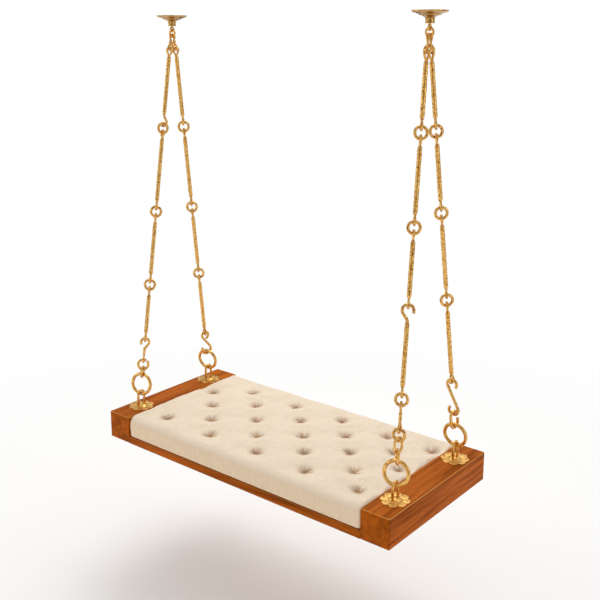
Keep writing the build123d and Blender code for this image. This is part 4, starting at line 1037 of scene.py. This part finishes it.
def driven_in(name, places, shape_mesh, material, node_name, tilt, seed):
    """Geometry Nodes set one small fastener at each place, each turned and tilted a little its own way."""
    spots = bpy.data.meshes.new(name)
    spots.from_pydata(places, [], [])
    host = bpy.data.objects.new(name, spots)
    shape = bpy.data.objects.new(f"{name} shape", shape_mesh)
    scene.collection.objects.link(host)
    scene.collection.objects.link(shape)
    tree = bpy.data.node_groups.new(name, "GeometryNodeTree")
    tree.interface.new_socket("Places", in_out="INPUT", socket_type="NodeSocketGeometry")
    kinds = {"Shape": "NodeSocketObject", "Tilt": "NodeSocketFloat", "Seed": "NodeSocketInt"}
    entries = {
        label: tree.interface.new_socket(label, in_out="INPUT", socket_type=kind).identifier
        for label, kind in kinds.items()
    }
    tree.interface.new_socket("Fasteners", in_out="OUTPUT", socket_type="NodeSocketGeometry")
    start, end = tree.nodes.new("NodeGroupInput"), tree.nodes.new("NodeGroupOutput")
    shape_info = tree.nodes.new("GeometryNodeObjectInfo")
    set_out = tree.nodes.new("GeometryNodeInstanceOnPoints")
    whole = tree.nodes.new("GeometryNodeRealizeInstances")
    coated = tree.nodes.new("GeometryNodeSetMaterial")
    coated.inputs["Material"].default_value = material
    turn_limit = tree.nodes.new("ShaderNodeCombineXYZ")
    turn_limit.inputs["Z"].default_value = pi
    lower = tree.nodes.new("ShaderNodeVectorMath")
    lower.operation = "SCALE"
    lower.inputs["Scale"].default_value = -1.0
    own_turn = tree.nodes.new("FunctionNodeRandomValue")
    own_turn.data_type = "FLOAT_VECTOR"
    for output, entry in (
        (start.outputs["Places"], set_out.inputs["Points"]),
        (start.outputs["Shape"], shape_info.inputs["Object"]),
        (shape_info.outputs["Geometry"], set_out.inputs["Instance"]),
        (start.outputs["Tilt"], turn_limit.inputs["X"]),
        (start.outputs["Tilt"], turn_limit.inputs["Y"]),
        (turn_limit.outputs[0], lower.inputs[0]),
        (lower.outputs[0], own_turn.inputs[0]),
        (turn_limit.outputs[0], own_turn.inputs[1]),
        (start.outputs["Seed"], own_turn.inputs["Seed"]),
        (own_turn.outputs[0], set_out.inputs["Rotation"]),
        (set_out.outputs["Instances"], whole.inputs["Geometry"]),
        (whole.outputs["Geometry"], coated.inputs["Geometry"]),
        (coated.outputs["Geometry"], end.inputs["Fasteners"]),
    ):
        tree.links.new(output, entry)
    modifier = host.modifiers.new(name, "NODES")
    modifier.node_group = tree
    for label, value in (("Shape", shape), ("Tilt", tilt), ("Seed", seed)):
        modifier[entries[label]] = value
    made = bpy.data.meshes.new_from_object(host.evaluated_get(bpy.context.evaluated_depsgraph_get()))
    host.modifiers.clear()
    bpy.data.objects.remove(host)
    bpy.data.objects.remove(shape)
    finished(name, made, material, "seat", node_name)


SCREW = (
    *((0.0, -24.0), (0.8, -23.6), (1.9, -21.8), (2.0, -2.0), (3.9, -0.2), (3.8, 0.0), (1.7, -0.1)),
    *((1.3, -1.1), (0.0, -1.2)),
)
NAIL = (
    *((0.0, -16.0), (0.6, -15.5), (1.0, -14.0), (1.0, -0.2), (3.0, -0.1), (3.2, 0.4), (2.9, 1.0)),
    *((1.8, 1.5), (0.0, 1.7)),
)
SLAT_PITCH = 0.2635
SCREW_PITCH = 0.1234
DECK_TOP = 0.028
NAIL_HEIGHT = BEAM_TOP + 0.0025
screw_places = [
    (x * SLAT_PITCH, y * SCREW_PITCH, DECK_TOP) for x in (-1.5, -0.5, 0.5, 1.5) for y in (-1.5, -0.5, 0.5, 1.5)
]
nail_places = [
    (x * STAPLE_X + NAIL_CIRCLE * cos(turn), y * STAPLE_Y + NAIL_CIRCLE * sin(turn), NAIL_HEIGHT)
    for x in (-1, 1)
    for y in (-1, 1)
    for turn in (PETAL_ANGLE * (k + 0.5) for k in range(PETALS))
]
nail_brass = brass("nail head brass", roughness=0.4, grain=900.0, patina=0.9, patina_size=300.0)
driven_in("countersunk_screws", screw_places, turned_solid(SCREW), steel, "deck_screws", tilt=0.0, seed=3)
driven_in("plate_nail_heads", nail_places, turned_solid(NAIL), nail_brass, "plate_nails", tilt=0.03, seed=11)


# ---------------------------------------------------------------- cushion
# A thick tufted seat cushion in natural linen, filled tight between the beams. Buttonless tufts pull its top
# down in staggered rows. Shade is painted into the linen: its sides darker and warmer than its top, and brown
# in the tufts' creases and dimples.
CUSHION_HALF = 0.5575
CUSHION_DEPTH = 0.3064
CUSHION_BOTTOM = 0.0286
CUSHION_TOP = 0.1135
TOP_ROUND = 0.034
BOTTOM_ROUND = 0.007
END_ROUND = 0.011
TUFT_DEPTH = 0.020
TUFT_FLOOR = CUSHION_TOP - TOP_ROUND - TUFT_DEPTH
TUFT_ROWS = {
    -0.66: (-0.805, -0.387, 0.036, 0.447, 0.848),
    -0.32: (-0.555, -0.125, 0.288, 0.684),
    0.02: (-0.725, -0.295, 0.122, 0.514, 0.889),
    0.36: (-0.898, -0.466, -0.048, 0.343, 0.730),
    0.68: (-0.653, -0.240, 0.180, 0.564, 0.913),
}
TUFTS = [(x * 0.558, y * 0.307) for y, row in TUFT_ROWS.items() for x in row]
CELL = 0.0072
AROUND = 196
BLOW_FRAMES = 12
SWELL = 0.0055
DEPTH_SPARE = 0.0018

tuft_tree = kdtree.KDTree(len(TUFTS))
for number, (x, y) in enumerate(TUFTS):
    tuft_tree.insert((x, y, 0), number)
tuft_tree.balance()


def nearest_tuft(x, y):
    """The closest tuft's number and the offset from it."""
    place, number, reach = tuft_tree.find((x, y, 0))
    return number, x - place.x, y - place.y


def pad_section(inset):
    """The pad's cross-section from front to rear, closed, drawn in evenly by an inset."""
    top_round = max(TOP_ROUND - inset, 0.004)
    low_round = max(BOTTOM_ROUND - inset, 0.002)
    wide, low, high = CUSHION_DEPTH - inset, CUSHION_BOTTOM + inset, CUSHION_TOP - inset
    outline = []
    for z, radius, start in ((low + low_round, low_round, -90), (high - top_round, top_round, 0)):
        outline += arc((wide - radius, z), radius, start, start + 90, 6 if radius < 0.01 else 12)
    outline += [(-y, z) for y, z in reversed(outline)]
    return outline


def even_steps(outline, count):
    """The closed outline again, as so many points at even distances."""
    loop = outline + outline[:1]
    run = [0.0]
    for (y0, z0), (y1, z1) in zip(loop, loop[1:]):
        run.append(run[-1] + hypot(y1 - y0, z1 - z0))
    points, k = [], 0
    for i in range(count):
        goal = run[-1] * i / count
        while run[k + 1] < goal:
            k += 1
        share = (goal - run[k]) / (run[k + 1] - run[k])
        points.append([a + (b - a) * share for a, b in zip(loop[k], loop[k + 1])])
    return points


def pad_mesh():
    """A closed pad of even quads with rounded ends, pulled down at its tufts."""
    ends = [(0.0, END_ROUND + extra) for extra in (0.024, 0.016, 0.008)]
    ends += [(END_ROUND * (1 - cos(radians(a))), END_ROUND * (1 - sin(radians(a)))) for a in (0, 30, 60, 90)]
    spots = [(-CUSHION_HALF + x, inset) for x, inset in ends]
    length = 2 * (CUSHION_HALF - END_ROUND)
    cells = int(length / CELL)
    spots += [(-CUSHION_HALF + END_ROUND + length * i / cells, 0.0) for i in range(1, cells)]
    spots += [(CUSHION_HALF - x, inset) for x, inset in reversed(ends)]
    mesh = bmesh.new()
    rows = []
    for x, inset in spots:
        row = []
        for y, z in even_steps(pad_section(inset), AROUND):
            drop = 0.0
            if z > CUSHION_TOP - TOP_ROUND:
                _, dx, dy = nearest_tuft(x, y)
                reach = hypot(dx, dy)
                drop = TUFT_DEPTH * exp(-((max(reach - 0.004, 0.0) / 0.030) ** 1.15))
            row.append(mesh.verts.new((x, y, z - drop)))
        rows.append(row)
    for first, second in zip(rows, rows[1:]):
        for k in range(AROUND):
            m = (k + 1) % AROUND
            mesh.faces.new((first[k], first[m], second[m], second[k]))
    mesh.faces.new(rows[0][::-1])
    mesh.faces.new(rows[-1])
    bmesh.ops.recalc_face_normals(mesh, faces=mesh.faces)
    return smooth_mesh(mesh)


def inflated(mesh):
    """The pad after its cover is blown tight by the filling, held at its tufts, ends and underside."""
    pad = bpy.data.objects.new("pad", mesh)
    scene.collection.objects.link(pad)
    held = pad.vertex_groups.new(name="held")
    rest = [vertex.co.copy() for vertex in mesh.vertices]
    for vertex in mesh.vertices:
        x, y, z = vertex.co
        _, dx, dy = nearest_tuft(x, y)
        stitched = hypot(dx, dy) < 0.0052 and z > TUFT_FLOOR
        if stitched or abs(x) > CUSHION_HALF - 0.001 or z < CUSHION_BOTTOM + 0.010:
            held.add([vertex.index], 1.0, "REPLACE")
    cloth = pad.modifiers.new("cover", "CLOTH")
    cloth.settings.quality = 4
    cloth.settings.mass = 0.25
    cloth.settings.tension_stiffness = 22.0
    cloth.settings.compression_stiffness = 22.0
    cloth.settings.shear_stiffness = 8.0
    cloth.settings.bending_stiffness = 0.25
    cloth.settings.use_pressure = True
    cloth.settings.uniform_pressure_force = 1.1
    cloth.settings.shrink_min = -0.018
    cloth.settings.vertex_group_mass = "held"
    cloth.settings.effector_weights.gravity = 0.0
    cloth.collision_settings.use_collision = False
    cloth.collision_settings.use_self_collision = False
    cloth.point_cache.frame_start = 1
    cloth.point_cache.frame_end = BLOW_FRAMES
    for frame_number in range(1, BLOW_FRAMES + 1):
        scene.frame_set(frame_number)
    blown = bpy.data.meshes.new_from_object(pad.evaluated_get(bpy.context.evaluated_depsgraph_get()))
    for vertex, start in zip(blown.vertices, rest):
        move = vertex.co - start
        limit = SWELL * (0.15 + 0.85 * eased((CUSHION_DEPTH - 0.020 - abs(start.y)) / 0.060))
        if move.length > limit:
            vertex.co = start + move * (limit / move.length)
        vertex.co.x = min(max(vertex.co.x, -CUSHION_HALF), CUSHION_HALF)
        vertex.co.y = min(max(vertex.co.y, -CUSHION_DEPTH - DEPTH_SPARE), CUSHION_DEPTH + DEPTH_SPARE)
    scene.frame_set(1)
    bpy.data.objects.remove(pad)
    return blown


def rounded_off(mesh):
    """The mesh after one step of subdivision."""
    pad = bpy.data.objects.new("pad", mesh)
    scene.collection.objects.link(pad)
    finer = pad.modifiers.new("finer", "SUBSURF")
    finer.levels = 1
    finer.render_levels = 1
    made = bpy.data.meshes.new_from_object(pad.evaluated_get(bpy.context.evaluated_depsgraph_get()))
    bpy.data.objects.remove(pad)
    return made


cover = pad_mesh()
cover = inflated(cover)
cover = rounded_off(cover)
offsets, reaches = [], []
for vertex in cover.vertices:
    number, dx, dy = nearest_tuft(vertex.co.x, vertex.co.y)
    offsets += (dx, dy, 0.01 * number)
    reaches.append(1.0 if vertex.co.z < TUFT_FLOOR else hypot(dx, dy))
cover.attributes.new("tuft_offset", "FLOAT_VECTOR", "POINT").data.foreach_set("vector", offsets)
cover.attributes.new("tuft_reach", "FLOAT", "POINT").data.foreach_set("value", reaches)
cover.polygons.foreach_set("use_smooth", [True] * len(cover.polygons))

# The first two colours paint light and shade: the top lit, the sides shaded and warmer.
LINEN_LIT_TOP = (0.83, 0.705, 0.560)
LINEN_SHADED_SIDE = (0.86, 0.67, 0.47)
LINEN_THREAD = (0.62, 0.47, 0.33)
# The crease colour is painted shade for the tufts' creases and dimples.
LINEN_CREASE_SHADE = (0.70, 0.36, 0.15)
WARP, WEFT, SLUB = (1000.0, 60.0, 60.0), (60.0, 1000.0, 1000.0), (330.0, 22.0, 22.0)
FOLD_STOPS = ((0.0, 0.0), (0.40, 0.0), (0.455, 1.0), (0.50, 0.0), (0.555, 1.0), (0.61, 0.0), (1.0, 0.0))
linen = new_material("natural linen", Roughness=0.9, Sheen_Weight=0.08, Specular_IOR_Level=0.1)
warp, weft = (mottled(linen, object_place(linen, run), Detail=3.0, Roughness=0.65) for run in (WARP, WEFT))
slubs = mottled(linen, object_place(linen, SLUB), Detail=2.0, Roughness=0.65)
weave = maths(linen, "ADD", maths(linen, "MULTIPLY", warp, 0.65), maths(linen, "MULTIPLY", weft, 0.35))
# Painted light and shade: upward-facing linen takes the lit colour, and sideways linen the warmer shaded one.
toned = mixed(linen, remapped(linen, upwards(linen), 0.10, 0.85), LINEN_SHADED_SIDE, LINEN_LIT_TOP)
toned = mixed(linen, shades(linen, weave, (0.40, 0.42), (0.52, 0.0)), toned, LINEN_THREAD)
toned = mixed(linen, 1.0, toned, shades(linen, slubs, (0.36, 0.94), (0.56, 1.0)), "MULTIPLY")

offset, reach = node(linen, "Attribute"), node(linen, "Attribute")
offset.attribute_name, reach.attribute_name = "tuft_offset", "tuft_reach"
parts = node(linen, "SeparateXYZ", Vector=offset.outputs["Vector"]).outputs
heading = node(linen, "VectorMath", _0=node(linen, "CombineXYZ", X=parts["X"], Y=parts["Y"]).outputs[0])
heading.operation = "NORMALIZE"
own_place = node(linen, "CombineXYZ", Z=maths(linen, "MULTIPLY", parts["Z"], 530.0)).outputs[0]
spread = node(linen, "VectorMath", _0=heading.outputs[0], _1=own_place).outputs[0]
# Painted shade in the creases that fan out from each tuft; the same lines also give the bump.
fold_lines = shades(linen, mottled(linen, spread, 3.1, Detail=1.5, Roughness=0.5), *FOLD_STOPS)
near_tuft = remapped(linen, reach.outputs["Fac"], 0.044, 0.008, curve="SMOOTHSTEP")
crease_relief_and_shade = maths(linen, "MULTIPLY", fold_lines, near_tuft)
toned = mixed(linen, maths(linen, "MULTIPLY", crease_relief_and_shade, 0.62), toned, LINEN_CREASE_SHADE)
# Painted shade deepening into each tuft's dimple.
tuft_dimple_shade = remapped(linen, reach.outputs["Fac"], 0.021, 0.002, curve="SMOOTHSTEP")
fold_relief = bumped(linen, maths(linen, "SUBTRACT", 1.0, crease_relief_and_shade), 1.0, 0.0030)
coat(
    linen,
    Base_Color=mixed(linen, maths(linen, "MULTIPLY", tuft_dimple_shade, 0.80), toned, LINEN_CREASE_SHADE),
    Normal=bumped(linen, weave, 0.22, 0.0004, Normal=fold_relief),
)
cushion = finished("tufted_cushion", cover, linen, "seat", "cushion")
